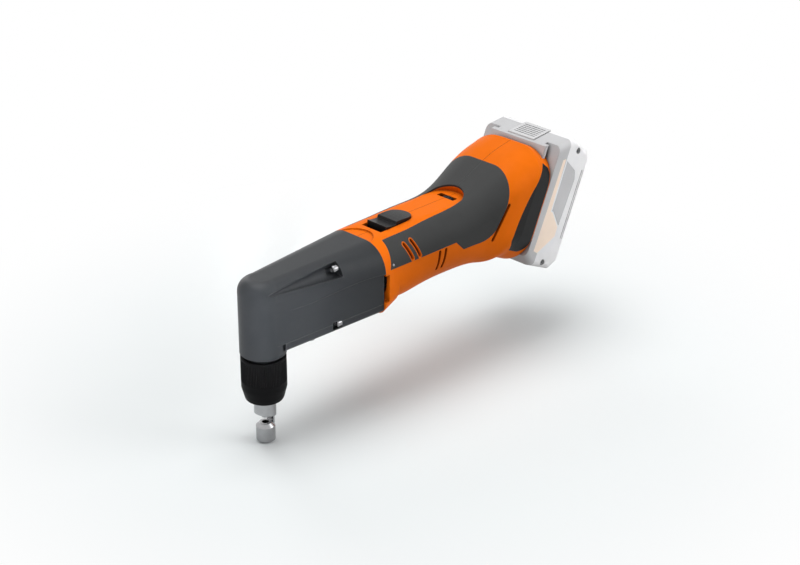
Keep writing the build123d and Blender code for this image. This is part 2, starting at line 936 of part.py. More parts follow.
# Stator core with inward teeth, and one winding on each tooth
with BuildPart() as stator_core:
    with BuildSketch(across(stator_front)):
        Circle(stator_radius)
        Circle(stator_radius - stator_yoke, mode=Mode.SUBTRACT)
        with PolarLocations((stator_bore + stator_radius) / 2, stator_slots):
            Rectangle(stator_radius - stator_bore - 1, stator_tooth)
        with PolarLocations(stator_bore + stator_shoe / 2, stator_slots):
            Rectangle(stator_shoe, 2 * stator_tooth - 2)
        Circle(stator_bore, mode=Mode.SUBTRACT)
    extrude(amount=stator_length)
save(stator_core, "stator_core")

with BuildPart() as stator_windings:
    with BuildSketch(across(stator_front - coil_overhang)):
        with PolarLocations(coil_orbit, stator_slots):
            Rectangle(coil_height, stator_tooth + 2 * coil_wall)
    extrude(amount=stator_length + 2 * coil_overhang)
    with BuildSketch(across(stator_front)):
        with PolarLocations(coil_orbit, stator_slots):
            Rectangle(coil_height + 1, stator_tooth)
    extrude(amount=stator_length, mode=Mode.SUBTRACT)
    add(stator_core.part, mode=Mode.SUBTRACT)
save(stator_windings, "stator_windings")

# Places of the screws that hold the head on the shells and the shells together
# (station, height and distance of the head's seat from the seam)
shell_screw_places = (
    (108.0, 81.0, 6.0), (153.5, 86.0, 10.0), (196.0, 117.0, 20.0), (224.0, 90.0, 20.0), (238.0, 146.0, 20.0),
)
head_screw_places = (
    (upper_screw_side, upper_screw_height),
    (-upper_screw_side, upper_screw_height),
    (lower_screw_side, lower_screw_height),
    (-lower_screw_side, lower_screw_height),
)


def tongue(low, grow, mode):
    """Everything above a height inside the plan of the top panel, a tongue round at its rear end."""
    front = panel_front_half + grow
    rear = panel_rear_half + grow
    with BuildSketch(Plane.XY.offset(low)) as face:
        with BuildLine() as outline:
            Polyline(
                (panel_rear, rear), (panel_bend, front), (head_rear, front),
                (head_rear, -front), (panel_bend, -front), (panel_rear, -rear),
            )
            ThreePointArc((panel_rear, -rear), (panel_end + grow, 0), (panel_rear, rear))
        make_face(outline.edges())
    extrude(face.sketch, amount=reach, mode=mode)


def switch_plan(low, high, front, grow, mode=Mode.ADD):
    """Block with the plan of the switch, straight in front and round behind."""
    half = switch_half_width + grow
    turn = switch_front + switch_length - switch_half_width
    with BuildSketch(Plane.XY.offset(low)) as face:
        with BuildLine() as outline:
            Polyline((turn, half), (front, half), (front, -half), (turn, -half))
            ThreePointArc((turn, -half), (turn + half, 0), (turn, half))
        make_face(outline.edges())
    extrude(face.sketch, amount=high - low, mode=mode)


# Hollow inside the motor shell, left by the ribs that carry the motor, the switch and the control board
# and by the bosses of the screws
with BuildPart() as shell_hollow:
    shell_form(wall, foot_band - plate_thickness)
    for place, hole in (
        (front_rib, stator_radius),
        (rear_rib, stator_radius),
        (end_bearing_front, end_bearing_radius),
    ):
        with BuildSketch(across(place)):
            Rectangle(reach, reach)
            Circle(hole, mode=Mode.SUBTRACT)
        extrude(amount=rib_width, mode=Mode.SUBTRACT)
    plate(across(board_rib), (-reach, reach), (-reach, reach), rib_width, mode=Mode.SUBTRACT)
    plate(
        across(board_rib), (-board_half_width, board_half_width),
        (board_low - motor_height, board_low + board_height - motor_height), rib_width,
    )
    plate(
        across(board_rib), (-wire_half_width, wire_half_width),
        (wire_low - motor_height, rod_low - motor_height), rib_width,
    )
    plate(
        across(end_bearing_front), (-switch_module_half_width, switch_module_half_width),
        (switch_module_low - motor_height, switch_module_high - motor_height), rib_width,
    )
    plate(
        across(switch_front), (-rod_half_width - slide_gap, rod_half_width + slide_gap),
        (rod_low - slide_gap - motor_height, rod_low + rod_height + slide_gap - motor_height),
        board_rib - switch_front,
    )
    tongue(panel_height - panel_floor, panel_floor, Mode.SUBTRACT)
    disc(
        Plane.XY.offset(scallop_floor - panel_floor), scallop_radius + panel_floor, reach,
        at=(scallop_end - scallop_radius, 0), mode=Mode.SUBTRACT,
    )
    for x, height, _ in shell_screw_places:
        disc(Plane.XZ.offset(-reach / 2), boss_radius, reach, at=(x, height), mode=Mode.SUBTRACT)
    for aside, height in head_screw_places:
        bore(head_rear, head_rear + screw_reach + wall, screw_boss, aside, height)

# Air slots through both sides of the shell, one long slot along each flare, and the holes of the shell screws
with BuildPart() as side_holes:
    for x, height, seat in shell_screw_places:
        disc(Plane.XZ.offset(-seat), screw_radius, seat + shell_screw_grip, at=(x, height))
        disc(Plane.XZ.offset(-seat), counterbore_radius, -vent_reach, at=(x, height))
    for x_top, top, x_low, low in (
        (114.5, 125.0, 119.0, 113.8),
        (122.0, 125.6, 126.5, 113.8),
        (147.3, 110.0, 145.4, 96.5),
        (153.7, 110.0, 151.0, 96.5),
        (217.0, 127.5, 201.5, 103.0),
    ):
        run = Vector(x_top - x_low, top - low)
        for side in sides:
            with BuildSketch(Plane.XZ.offset(side * vent_inner)):
                with Locations(((x_top + x_low) / 2, (top + low) / 2)):
                    SlotOverall(run.length + vent_width, vent_width, rotation=degrees(atan2(run.Y, run.X)))
            extrude(amount=side * vent_reach)

# Room of the soft grip: let into the shell on both sides, round the tongue of the top panel
with BuildPart() as grip_room:
    with BuildSketch(Plane.XZ):
        with BuildLine():
            grip_edge = Polyline(
                (grip_front_top, reach),
                (grip_front_top, panel_height),
                (grip_front_low, grip_low),
                (grip_notch, grip_low),
                (grip_notch + grip_step, grip_low - grip_step),
                (grip_notch + 3 * grip_step, grip_low - grip_step),
            )
            grip_back = Spline(
                grip_edge @ 1, (205.0, 110.5), (215.0, 127.0), (221.5, 143.0), (230.0, 162.0),
                tangents=((1, 0), (0.5, 1)),
            )
            Polyline(grip_back @ 1, (230.0, reach), grip_edge @ 0)
        make_face()
    extrude(amount=vent_reach, both=True)
    shell_form(grip_depth, foot_band, mode=Mode.SUBTRACT)
    tongue(motor_height, 0.0, Mode.SUBTRACT)

# Room of the black inserts in the sides of the foot
with BuildPart() as insert_room:
    with BuildSketch(pack_side()):
        with BuildLine():
            front_edge = Spline((-8.0, 30.5), (-16.5, 8.0), (-22.0, -32.0))
            low_edge = Polyline(front_edge @ 1, (-17.0, -40.0), (-7.0, -40.0))
            corner = ThreePointArc(low_edge @ 1, (-2.0, -36.0), (-0.6, -28.0))
            rear_edge = Polyline(corner @ 1, (-0.6, 24.0), (-2.0, 28.0))
            Line(rear_edge @ 1, front_edge @ 0)
        make_face()
    extrude(amount=vent_reach, both=True)
    shell_form(grip_depth, foot_band, mode=Mode.SUBTRACT)

# Motor shell before it is parted along the seam
with BuildPart() as shell_body:
    shell_form(0.0, foot_band)
    collar()
    add(shell_hollow.part, mode=Mode.SUBTRACT)
    add(grip_room.part, mode=Mode.SUBTRACT)
    add(insert_room.part, mode=Mode.SUBTRACT)
    tongue(panel_height, 0.0, Mode.SUBTRACT)
    switch_plan(
        rod_low + rod_height, reach, switch_front - switch_travel - slide_gap, slide_gap, mode=Mode.SUBTRACT,
    )
    disc(
        Plane.XY.offset(scallop_floor), scallop_radius, reach, at=(scallop_end - scallop_radius, 0),
        mode=Mode.SUBTRACT,
    )
    plate(
        Plane.XY.offset(dial_height),
        (dial_place - dial_width / 2 - slide_gap, dial_place + dial_width / 2 + slide_gap),
        (-dial_window, dial_window), reach, mode=Mode.SUBTRACT,
    )
    for aside, height in head_screw_places:
        bore(head_rear, head_rear + screw_reach, screw_radius, aside, height)
    for side in sides:
        plate(
            Plane.XZ.offset(side * vent_inner), (head_rear, head_rear + outlet_length),
            (outlet_low, outlet_high), side * vent_reach, mode=Mode.SUBTRACT,
        )
    plate(
        along_pack(-rail_lip), (-rail_opening, rail_opening), (slot_low, reach), rail_lip, mode=Mode.SUBTRACT,
    )
    plate(
        along_pack(-slot_depth), (-rail_depth, rail_depth), (slot_low, reach), slot_depth - rail_lip,
        mode=Mode.SUBTRACT,
    )
    plate(
        along_pack(-plate_thickness), (-terminal_half_width, terminal_half_width),
        (terminal_low, terminal_high), plate_thickness, mode=Mode.SUBTRACT,
    )
    plate(
        along_pack(-slot_depth - keeper_depth), (-latch_half_width - 1, latch_half_width + 1),
        (latch_low - slide_gap, latch_low + latch_nose_height + 2), keeper_depth, mode=Mode.SUBTRACT,
    )
    add(side_holes.part, mode=Mode.SUBTRACT)

# Grips and inserts: the shell's outer form inside their rooms
with BuildPart() as grip_skin:
    shell_form(0.0, foot_band)
    collar()
    add(grip_room.part, mode=Mode.INTERSECT)
    add(side_holes.part, mode=Mode.SUBTRACT)

with BuildPart() as insert_skin:
    shell_form(0.0, foot_band)
    add(insert_room.part, mode=Mode.INTERSECT)

for name, side in (("right", -1), ("left", 1)):
    other_half = Plane.XZ if side > 0 else -Plane.XZ
    for piece, whole in (("motor_shell", shell_body), ("grip", grip_skin), ("foot_insert", insert_skin)):
        with BuildPart() as half:
            add(whole.part)
            plate(other_half, (-reach, reach), (-reach, reach), reach, mode=Mode.SUBTRACT)
        save(half, f"{name}_{piece}")

# Screws that hold the two shells together
with BuildPart() as shell_screws:
    for x, height, seat in shell_screw_places:
        disc(Plane.XZ.offset(-seat), screw_radius, seat + shell_screw_grip, at=(x, height))
        disc(Plane.XZ.offset(-seat), screw_head_radius, -screw_head_height, at=(x, height))
save(shell_screws, "shell_screws")

# Slider of the switch: a dished tread in front, a step and a rear part that falls away to the end
with BuildPart() as switch_slider:
    switch_plan(rod_low + rod_height, panel_height + switch_crest, switch_front, 0.0)
    switch_end = switch_front + switch_length
    with BuildSketch(Plane.XZ):
        with BuildLine():
            tread = ThreePointArc(
                (switch_front, panel_height + switch_edge),
                (switch_front + switch_step / 2, panel_height + switch_dish),
                (switch_front + switch_step, panel_height),
            )
            crest = Line(tread @ 1, (switch_front + switch_step + 1, panel_height + switch_crest))
            tail = ThreePointArc(
                crest @ 1,
                ((switch_front + switch_step + switch_end) / 2, panel_height + switch_crest - switch_dish),
                (switch_end, panel_height + switch_tail),
            )
            Polyline(tail @ 1, (switch_end, rod_low), (switch_front, rod_low), tread @ 0)
        make_face()
    extrude(amount=reach, both=True, mode=Mode.INTERSECT)
save(switch_slider, "switch_slider")

# Rod that carries the slider's travel back to the switch module
with BuildPart() as switch_rod:
    plate(
        Plane.XY.offset(rod_low), (switch_front + rod_start, rod_rear), (-rod_half_width, rod_half_width),
        rod_height,
    )
    plate(
        Plane.XY.offset(rod_lug_low), (rod_rear - rod_lug, rod_rear), (-rod_half_width, rod_half_width),
        rod_low - rod_lug_low,
    )
save(switch_rod, "switch_rod")

with BuildPart() as switch_module:
    plate(
        Plane.XY.offset(switch_module_low), (switch_module_front, switch_module_front + switch_module_length),
        (-switch_module_half_width, switch_module_half_width), switch_module_high - switch_module_low,
    )
save(switch_module, "switch_module")

# Thumbwheel of the speed dial, and the potentiometer it turns
with BuildPart() as speed_dial:
    disc(across(dial_place - dial_width / 2), dial_radius, dial_width, at=(0, dial_height - motor_height))
    with BuildSketch(across(dial_place - dial_width / 2)):
        with Locations((0, dial_height - motor_height)):
            with PolarLocations(dial_radius + dial_notch * 0.4, dial_notches):
                Circle(dial_notch)
    extrude(amount=dial_width, mode=Mode.SUBTRACT)
    bore(
        dial_place - dial_width, dial_place + dial_width, dial_shaft_radius + run_gap, height=dial_height,
    )
save(speed_dial, "speed_dial")

with BuildPart() as dial_potentiometer:
    plate(
        across(board_rib + rib_width), (-dial_box_half, dial_box_half),
        (dial_height - dial_box_half - motor_height, dial_height + dial_box_half - motor_height),
        dial_box_length,
    )
    bore(
        board_rib + rib_width, dial_place + dial_width / 2, dial_shaft_radius, height=dial_height,
        mode=Mode.ADD,
    )
save(dial_potentiometer, "dial_potentiometer")

# Control board in its potted tray
with BuildPart() as control_board:
    plate(
        Plane.XY.offset(board_low), (board_front, board_front + board_length),
        (-board_half_width, board_half_width), board_height,
    )
    plate(
        Plane.XY.offset(board_low + board_height - tray_depth),
        (board_rib + rib_width + tray_wall, board_front + board_length - tray_wall),
        (-board_half_width + tray_wall, board_half_width - tray_wall), tray_depth, mode=Mode.SUBTRACT,
    )
save(control_board, "control_board")

# Contact blades of the tool, and the terminal block that holds them
with BuildPart() as tool_contacts:
    for index in range(blade_count):
        middle = (index - (blade_count - 1) / 2) * blade_spacing
        plate(
            along_pack(blade_root), (middle - blade_thickness / 2, middle + blade_thickness / 2),
            (blade_low, blade_high), blade_reach - blade_root,
        )
save(tool_contacts, "tool_contacts")

with BuildPart() as terminal_block:
    plate(
        along_pack(terminal_back), (-terminal_half_width, terminal_half_width), (terminal_low, terminal_high),
        -slot_depth - slide_gap - terminal_back,
    )
    plate(
        along_pack(-plate_thickness - terminal_flange),
        (-terminal_half_width - terminal_flange, terminal_half_width + terminal_flange),
        (terminal_low - terminal_flange, terminal_high + terminal_flange), terminal_flange,
    )
    add(tool_contacts.part, mode=Mode.SUBTRACT)
save(terminal_block, "terminal_block")


def crown_at(depth):
    """Height of the slope on top of the pack at a depth."""
    slope = (pack_crown - platform_top) / (pack_crown_depth + platform_reach)
    return platform_top + slope * (depth + platform_reach)


# Battery pack: outline in its side view, and the hollow inside
with BuildPart() as pack_body:
    with BuildSketch(pack_side()) as pack_outline:
        with BuildLine():
            Polyline(
                (pack_front, pack_nose_up),
                (pack_nose_depth, pack_low),
                (pack_depth - pack_heel, pack_low),
                (pack_depth, pack_low + pack_heel),
                (pack_depth, pack_rear_top),
                (pack_shoulder_depth, pack_shoulder),
                (pack_crown_depth, pack_crown),
                (pack_front, crown_at(pack_front)),
                close=True,
            )
        make_face()
    extrude(amount=pack_half_width, both=True)
    rim = pack_body.edges().filter_by(Axis.Y, reverse=True)
    front_rim = pack_body.faces().sort_by(Axis((foot_x, 0, foot_z), along_pack(0).z_dir))[0].edges()
    fillet([edge for edge in rim if edge not in front_rim], radius=pack_round)

with BuildPart() as pack_hollow:
    with BuildSketch(pack_side()):
        add(pack_outline.sketch_local)
        offset(amount=-pack_wall, mode=Mode.REPLACE)
    extrude(amount=pack_half_width - pack_wall, both=True)

# Pale stripes let into the sides of the pack
with BuildPart() as pack_side_stripes:
    for side in sides:
        with BuildSketch(pack_side(side * pack_half_width)):
            with BuildLine():
                Polyline(*stripe_points, close=True)
            make_face()
        extrude(amount=side * stripe_depth)
save(pack_side_stripes, "pack_side_stripes")


def button_room():
    """Opening in the top of the pack that the release button sinks into."""
    plate(
        along_pack(button_front - slide_gap), (-button_half_width - slide_gap, button_half_width + slide_gap),
        (crown_at(button_front) - button_thickness - button_travel - slide_gap, reach),
        button_rear - button_front + 2 * slide_gap, mode=Mode.SUBTRACT,
    )


# Front shell of the pack, with the guide platform, the contact slots and the openings of button and latch
with BuildPart() as pack_front_shell:
    add(pack_body.part)
    slab(
        pack_side(),
        (
            (pack_front + pack_wall, platform_low),
            (-platform_reach, platform_low),
            (-platform_reach, platform_top),
            (pack_front + pack_wall, crown_at(pack_front + pack_wall)),
        ),
        rail_depth - slide_gap,
    )
    add(pack_hollow.part, mode=Mode.SUBTRACT)
    plate(along_pack(pack_split), (-reach, reach), (-reach, reach), reach, mode=Mode.SUBTRACT)
    for side in sides:
        plate(
            along_pack(-rail_lip - slide_gap),
            sorted((side * (rail_opening - slide_gap), side * (rail_depth + 1))), (-reach, reach),
            rail_lip + slide_gap + pack_front, mode=Mode.SUBTRACT,
        )
    for index in range(blade_count):
        middle = (index - (blade_count - 1) / 2) * blade_spacing
        plate(
            along_pack(-platform_reach), (middle - contact_slot, middle + contact_slot),
            (-reach, blade_high + contact_slot), platform_reach + blade_reach + 1, mode=Mode.SUBTRACT,
        )
    button_room()
    plate(
        along_pack(-platform_reach), (-latch_half_width - slide_gap, latch_half_width + slide_gap),
        (latch_low - button_travel - slide_gap, latch_low + latch_nose_height + 2 + slide_gap),
        platform_reach + latch_rear + slide_gap, mode=Mode.SUBTRACT,
    )
    spring_seat = pack_side().from_local_coords(Vector(spring_depth, spring_low))
    slide_axis = along_pack(0).y_dir
    disc(
        Plane(origin=spring_seat, x_dir=(0, 1, 0), z_dir=slide_axis), spring_radius + slide_gap,
        latch_low - spring_low, mode=Mode.SUBTRACT,
    )
    add(pack_side_stripes.part, mode=Mode.SUBTRACT)
save(pack_front_shell, "pack_front_shell")

with BuildPart() as pack_base_shell:
    add(pack_body.part)
    add(pack_hollow.part, mode=Mode.SUBTRACT)
    plate(along_pack(pack_split), (-reach, reach), (-reach, reach), -reach, mode=Mode.SUBTRACT)
    button_room()
    add(pack_side_stripes.part, mode=Mode.SUBTRACT)
    for side in sides:
        with BuildSketch(pack_side(side * (pack_half_width - label_recess))):
            with BuildLine():
                Polyline(*label_points, close=True)
            make_face()
        extrude(amount=-side * reach, mode=Mode.SUBTRACT)
        for place in pack_screw_places:
            disc(
                pack_side(side * (pack_half_width - pack_screw_depth)), pack_screw_pocket, -side * reach,
                at=place, mode=Mode.SUBTRACT,
            )
        for depth in side_grooves:
            plate(
                pack_side(side * (pack_half_width - side_groove_depth)),
                (depth - side_groove_width / 2, depth + side_groove_width / 2),
                (side_groove_low, side_groove_high), -side * reach, mode=Mode.SUBTRACT,
            )
save(pack_base_shell, "pack_base_shell")

# Cells of the pack, the holders at their ends, the board in front of them and the contact clips on it
with BuildPart() as pack_cells:
    for index in range(cell_count):
        place = (cell_depth, first_cell + index * cell_pitch)
        disc(pack_side(cell_length / 2), cell_radius, cell_length, at=place)
save(pack_cells, "pack_cells")

with BuildPart() as cell_holders:
    add(pack_hollow.part)
    plate(
        along_pack(pack_board_depth + pack_board_thickness), (-reach, reach), (-reach, reach), -reach,
        mode=Mode.SUBTRACT,
    )
    slab(pack_side(), ((-reach, -reach), (reach, -reach), (reach, reach), (-reach, reach)), holder_place,
         mode=Mode.SUBTRACT)
    for side in sides:
        plate(
            Plane.XZ.offset(side * (holder_place + holder_width)), (0, reach), (0, reach), side * reach,
            mode=Mode.SUBTRACT,
        )
    add(pack_cells.part, mode=Mode.SUBTRACT)
save(cell_holders, "cell_holders")

with BuildPart() as pack_board:
    plate(
        along_pack(pack_board_depth), (-pack_board_half, pack_board_half), (pack_board_low, pack_board_high),
        pack_board_thickness,
    )
save(pack_board, "pack_board")

with BuildPart() as pack_contacts:
    for index in range(blade_count):
        middle = (index - (blade_count - 1) / 2) * blade_spacing
        half_gap = blade_thickness / 2 + slide_gap
        plate(
            along_pack(clip_front), (middle - half_gap - clip_leaf, middle + half_gap + clip_leaf),
            (blade_low + 1, blade_high - 1), pack_board_depth - clip_front,
        )
        plate(
            along_pack(clip_front), (middle - half_gap, middle + half_gap), (-reach, reach),
            blade_reach + 1 - clip_front, mode=Mode.SUBTRACT,
        )
save(pack_contacts, "pack_contacts")

# Release button on the slope of the pack, the latch below it and the spring under the latch
with BuildPart() as release_button:
    for low, high, half, rear in (
        (-button_thickness, button_proud, button_half_width, button_rear),
        (-button_thickness, -ear_drop, button_half_width + ear_reach, button_rear - 1),
    ):
        start = button_front if half == button_half_width else ear_front
        slab(
            pack_side(),
            (
                (start, crown_at(start) + low),
                (rear, crown_at(rear) + low),
                (rear, crown_at(rear) + high),
                (start, crown_at(start) + high),
            ),
            half,
        )
    slope = degrees(atan2(crown_at(button_rear) - crown_at(button_front), button_rear - button_front))
    with BuildSketch(pack_side()):
        for index in range(button_grooves):
            row = index - (button_grooves - 1) / 2
            place = (button_front + button_rear) / 2 + row * button_groove_pitch
            with Locations((place, crown_at(place) + button_proud)):
                Rectangle(button_groove_width, button_groove_width, rotation=slope)
    extrude(amount=button_half_width - button_groove_inset, both=True, mode=Mode.SUBTRACT)
save(release_button, "release_button")

with BuildPart() as pack_latch:
    slab(
        pack_side(),
        (
            (latch_rear, latch_low),
            (-latch_nose, latch_low),
            (-latch_nose, latch_low + latch_nose_height),
            (latch_front, latch_low + latch_nose_height + 2),
            (latch_front, crown_at(latch_front) - button_thickness),
            (latch_rear, crown_at(latch_rear) - button_thickness),
        ),
        latch_half_width,
    )
save(pack_latch, "pack_latch")

with BuildPart() as latch_spring:
    ring(
        Plane(origin=spring_seat, x_dir=(0, 1, 0), z_dir=slide_axis), spring_bore, spring_radius,
        latch_low - spring_low,
    )
save(latch_spring, "latch_spring")
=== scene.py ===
from math import cos, pi, radians, sin

import bmesh
import bpy
import numpy as np
from bpy.props import FloatProperty, FloatVectorProperty, IntProperty, PointerProperty
from mathutils import Matrix, Vector


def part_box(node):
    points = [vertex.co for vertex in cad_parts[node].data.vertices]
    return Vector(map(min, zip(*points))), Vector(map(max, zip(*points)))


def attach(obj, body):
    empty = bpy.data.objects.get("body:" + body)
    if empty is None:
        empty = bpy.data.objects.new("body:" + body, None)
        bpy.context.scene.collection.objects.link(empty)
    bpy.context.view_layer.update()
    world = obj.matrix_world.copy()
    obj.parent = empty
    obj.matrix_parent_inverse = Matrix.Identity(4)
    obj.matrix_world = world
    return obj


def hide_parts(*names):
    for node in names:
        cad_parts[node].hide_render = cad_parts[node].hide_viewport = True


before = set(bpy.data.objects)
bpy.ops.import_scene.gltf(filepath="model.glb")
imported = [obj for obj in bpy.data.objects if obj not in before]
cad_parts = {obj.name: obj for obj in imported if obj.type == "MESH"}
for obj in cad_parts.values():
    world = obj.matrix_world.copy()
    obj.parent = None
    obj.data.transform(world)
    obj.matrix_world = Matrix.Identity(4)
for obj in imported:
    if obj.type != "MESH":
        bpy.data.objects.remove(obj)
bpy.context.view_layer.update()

bl_info = {
    "name": "Cordless nibbler",
    "version": (1, 0, 0),
    "blender": (4, 5, 0),
    "location": "View3D > Sidebar > Nibbler",
    "description": "Finishes, fine pieces and studio stage of a cordless nibbler",
    "category": "Object",
}

MM = 0.001
FOOT_TILT = radians(24.5)
FOOT_POINT = np.array((252.1, 0.0, 117.9)) * MM
SLIDE_UP = np.array((sin(FOOT_TILT), 0.0, cos(FOOT_TILT)))
PACK_DEPTH = np.array((cos(FOOT_TILT), 0.0, -sin(FOOT_TILT)))
REARWARD, SIDE, UPWARD = np.eye(3)

# Marks that the materials draw: ends of the front slots in millimetres, and in metres the fade of their rims,
# the depth of the foot's crease before the pack, the fade of its edge and the fade of its lower end
FRONT_SLOTS = (
    ((114.5, 0.0, 125.0), (119.0, 0.0, 113.8)),
    ((122.0, 0.0, 125.6), (126.5, 0.0, 113.8)),
)
SLOT_RIM = (0.00180, 0.00195)
CREASE_DEPTH = 0.0085
CREASE_EDGE = (0.00009, 0.00022)
CREASE_RISE = (0.0320, 0.0335)

# Depth of the moulded grain and of the tool marks, and the gap below which points merge, in metres
GRAIN_DEPTH, MARK_DEPTH, MERGE_GAP = 0.0001, 0.00005, 1e-7

# Seats of the screws, pins and plates in millimetres: head screws by side and level, shell screws by place,
# level and depth of the seat, pack screws and the corners of the plates by depth and height on the pack
HEAD_SCREWS = ((18.2, 123.6), (21.5, 82.5))
LID_SCREW_X, LID_SCREW_SIDE = 30.0, 17.0
SHELL_SCREWS = (
    (108.0, 81.0, 6.0), (153.5, 86.0, 10.0), (196.0, 117.0, 20.0), (224.0, 90.0, 20.0), (238.0, 146.0, 20.0),
)
SHELL_SCREW_RISE = 3.2
PACK_SCREWS = ((22.5, 46.6), (21.6, -43.8))
PACK_SCREW_SIDE, PACK_SCREW_SCALE = 36.45, 0.78
PIN_X, PIN_LEVEL, PIN_START = 99.6, 115.2, 60.0
LABEL_CORNERS = ((13.0, 36.8), (25.5, 31.2), (28.5, 24.5), (26.9, -13.4), (15.7, -3.4), (13.6, -3.0))
LABEL_ROUND, LABEL_SEAT = 0.9, 37.61

# Stage in metres, with the camera's sensor in millimetres: the floor's size, fade and colours, the camera,
# and each light by name, power property, size, place, aim and spread
FLOOR_REACH, FLOOR_LEVEL = 3.0, -0.0002
FLOOR_MIDDLE = (0.12, 0.0, 0.0)
FLOOR_FADE = (0.15, 0.41)
FLOOR_TONES = ((0.845, 0.88, 0.885), (0.865, 0.90, 0.905))
FLOOR_BOUNCE = (0.42, 0.42, 0.42)
SENSOR_WIDTH, CLIP_START = 36.0, 0.05
LIGHT_AIM = (0.13, 0.0, 0.09)
LIGHTS = (
    ("key_light", "key", (0.9, 0.9), (0.02, 0.12, 1.35), LIGHT_AIM, pi),
    ("fill_light", "fill", (0.9, 0.9), (0.95, -1.0, 0.80), LIGHT_AIM, pi),
    ("rim_light", "rim", (0.5, 1.2), (0.5, 1.25, 0.7), LIGHT_AIM, pi),
    ("pack_light", "pack", (0.10, 0.10), (0.46, -0.95, 0.15), (0.30, -0.038, 0.115), radians(14.0)),
    ("nose_light", "nose", (0.09, 0.09), (-0.58, -0.60, 0.22), (0.002, -0.012, 0.10), radians(9.0)),
)


def colour(label, note, value):
    """Colour property with a name, a description and a default."""
    return FloatVectorProperty(
        name=label, description=note, subtype="COLOR", size=3, min=0.0, max=1.0, default=value,
    )


def length(label, note, value):
    """Length property in metres, from a default in millimetres."""
    return FloatProperty(name=label, description=note, unit="LENGTH", min=0.0, default=value * MM)


def power(label, note, value):
    """Power property of a light, with a default in watts."""
    return FloatProperty(name=label, description=note, unit="POWER", default=value)


class NibblerColours(bpy.types.PropertyGroup):
    """Colours of the painted, moulded and metal pieces."""

    casting: colour("Casting", "Paint on the angle head", (0.0165, 0.0183, 0.0208))
    sleeve: colour("Sleeve", "Blackened clamping sleeve", (0.0032, 0.0032, 0.0035))
    steel: colour("Tool steel", "Die and punch", (0.42, 0.42, 0.43))
    screw: colour("Screws", "Heads of the screws", (0.34, 0.34, 0.35))
    shell: colour("Shell", "Moulded motor shell", (0.87, 0.165, 0.002))
    grip: colour("Grip", "Soft grip panels", (0.045, 0.046, 0.046))
    trim: colour("Trim", "Switch, dial and foot inserts", (0.006, 0.006, 0.0065))
    pack_front: colour("Pack front", "Front shell of the battery pack", (0.54, 0.54, 0.55))
    pack_base: colour("Pack base", "Base shell of the battery pack", (0.88, 0.88, 0.89))
    button: colour("Button", "Release button of the battery pack", (0.62, 0.62, 0.63))
    stripe: colour("Stripe", "Side stripes of the battery pack", (0.99, 0.83, 0.69))
    label: colour("Label plate", "Bare plates on the sides of the battery pack", (0.56, 0.56, 0.57))
    board: colour("Board", "Circuit boards", (0.010, 0.090, 0.035))
    pads: colour("Pads", "Tinned pads of the circuit boards", (0.62, 0.60, 0.56))
    copper: colour("Copper", "Windings and contacts", (0.72, 0.30, 0.13))
    bronze: colour("Bronze", "Guide bush", (0.58, 0.36, 0.14))
    drive: colour("Drive steel", "Gears, shafts and bearings", (0.50, 0.50, 0.52))
    flange: colour("Flange", "Bearing flange of the motor", (0.55, 0.56, 0.57))
    core: colour("Cores", "Sheets of the rotor and stator cores", (0.16, 0.16, 0.17))
    wrap: colour("Cell wrap", "Sleeves of the battery cells", (0.05, 0.20, 0.22))
    holder: colour("Cell holders", "Holders of the battery cells", (0.02, 0.02, 0.02))


class NibblerSizes(bpy.types.PropertyGroup):
    """Sizes of the fine pieces."""

    sleeve_radius: length("Sleeve radius", "Outer radius of the clamping sleeve", 16.4)
    sleeve_round: length("Sleeve rounding", "Rounding of the sleeve's lower rim", 2.6)
    ridge_count: IntProperty(name="Ridges", description="Ridges of the knurled band", min=12, default=80)
    ridge_depth: length("Ridge depth", "Depth of the grooves between the ridges", 0.45)
    band_low: length("Band low", "Lower end of the knurled band", 49.4)
    band_high: length("Band high", "Upper end of the knurled band", 67.2)
    screw_radius: length("Screw radius", "Radius of the screw heads", 2.9)
    screw_dome: length("Screw dome", "Height of the domed screw heads", 1.1)
    pin_radius: length("Pin radius", "Radius of the small pins on the grips", 1.0)
    label_thickness: length("Label thickness", "Thickness of the bare plates on the pack", 0.32)
    lobe_radius: length("Socket radius", "Mean radius of the six-lobed socket", 1.35)
    lobe_depth: length("Socket depth", "Depth of the six-lobed socket", 1.0)


class NibblerStage(bpy.types.PropertyGroup):
    """Camera and light of the studio stage."""

    camera_place: FloatVectorProperty(
        name="Camera", description="Place of the camera", subtype="TRANSLATION", size=3,
        default=(-0.815401, -0.951544, 0.720619),
    )
    azimuth: FloatProperty(
        name="Azimuth", description="Heading of the camera", subtype="ANGLE", default=radians(-45.0),
    )
    elevation: FloatProperty(
        name="Elevation", description="Height of the view over the horizon", subtype="ANGLE",
        default=radians(25.5),
    )
    lens: FloatProperty(name="Lens", description="Focal length in millimetres", min=1.0, default=90.0)
    sky: FloatProperty(name="Sky", description="Strength of the even light all round", min=0.0, default=0.29)
    key: power("Key", "Power of the overhead light", 12.6)
    fill: power("Fill", "Power of the side light", 6.0)
    rim: power("Rim", "Power of the rear light", 3.0)
    pack: power("Pack", "Power of the narrow light on the pack", 0.020)
    nose: power("Nose", "Power of the narrow light on the head", 0.10)


# Shader helpers

def put(tree, kind, sockets=None, **settings):
    """Adds a node, sets its settings, and links or fills its inputs."""
    node = tree.nodes.new(kind)
    for key, value in settings.items():
        setattr(node, key, value)
    for key, value in (sockets or {}).items():
        if isinstance(value, bpy.types.NodeSocket):
            tree.links.new(value, node.inputs[key])
        else:
            node.inputs[key].default_value = value
    return node


def number(tree, operation, first, second=0.0, clamp=False):
    """Result of a math node on two values or sockets."""
    return put(tree, "ShaderNodeMath", {0: first, 1: second}, operation=operation, use_clamp=clamp).outputs[0]


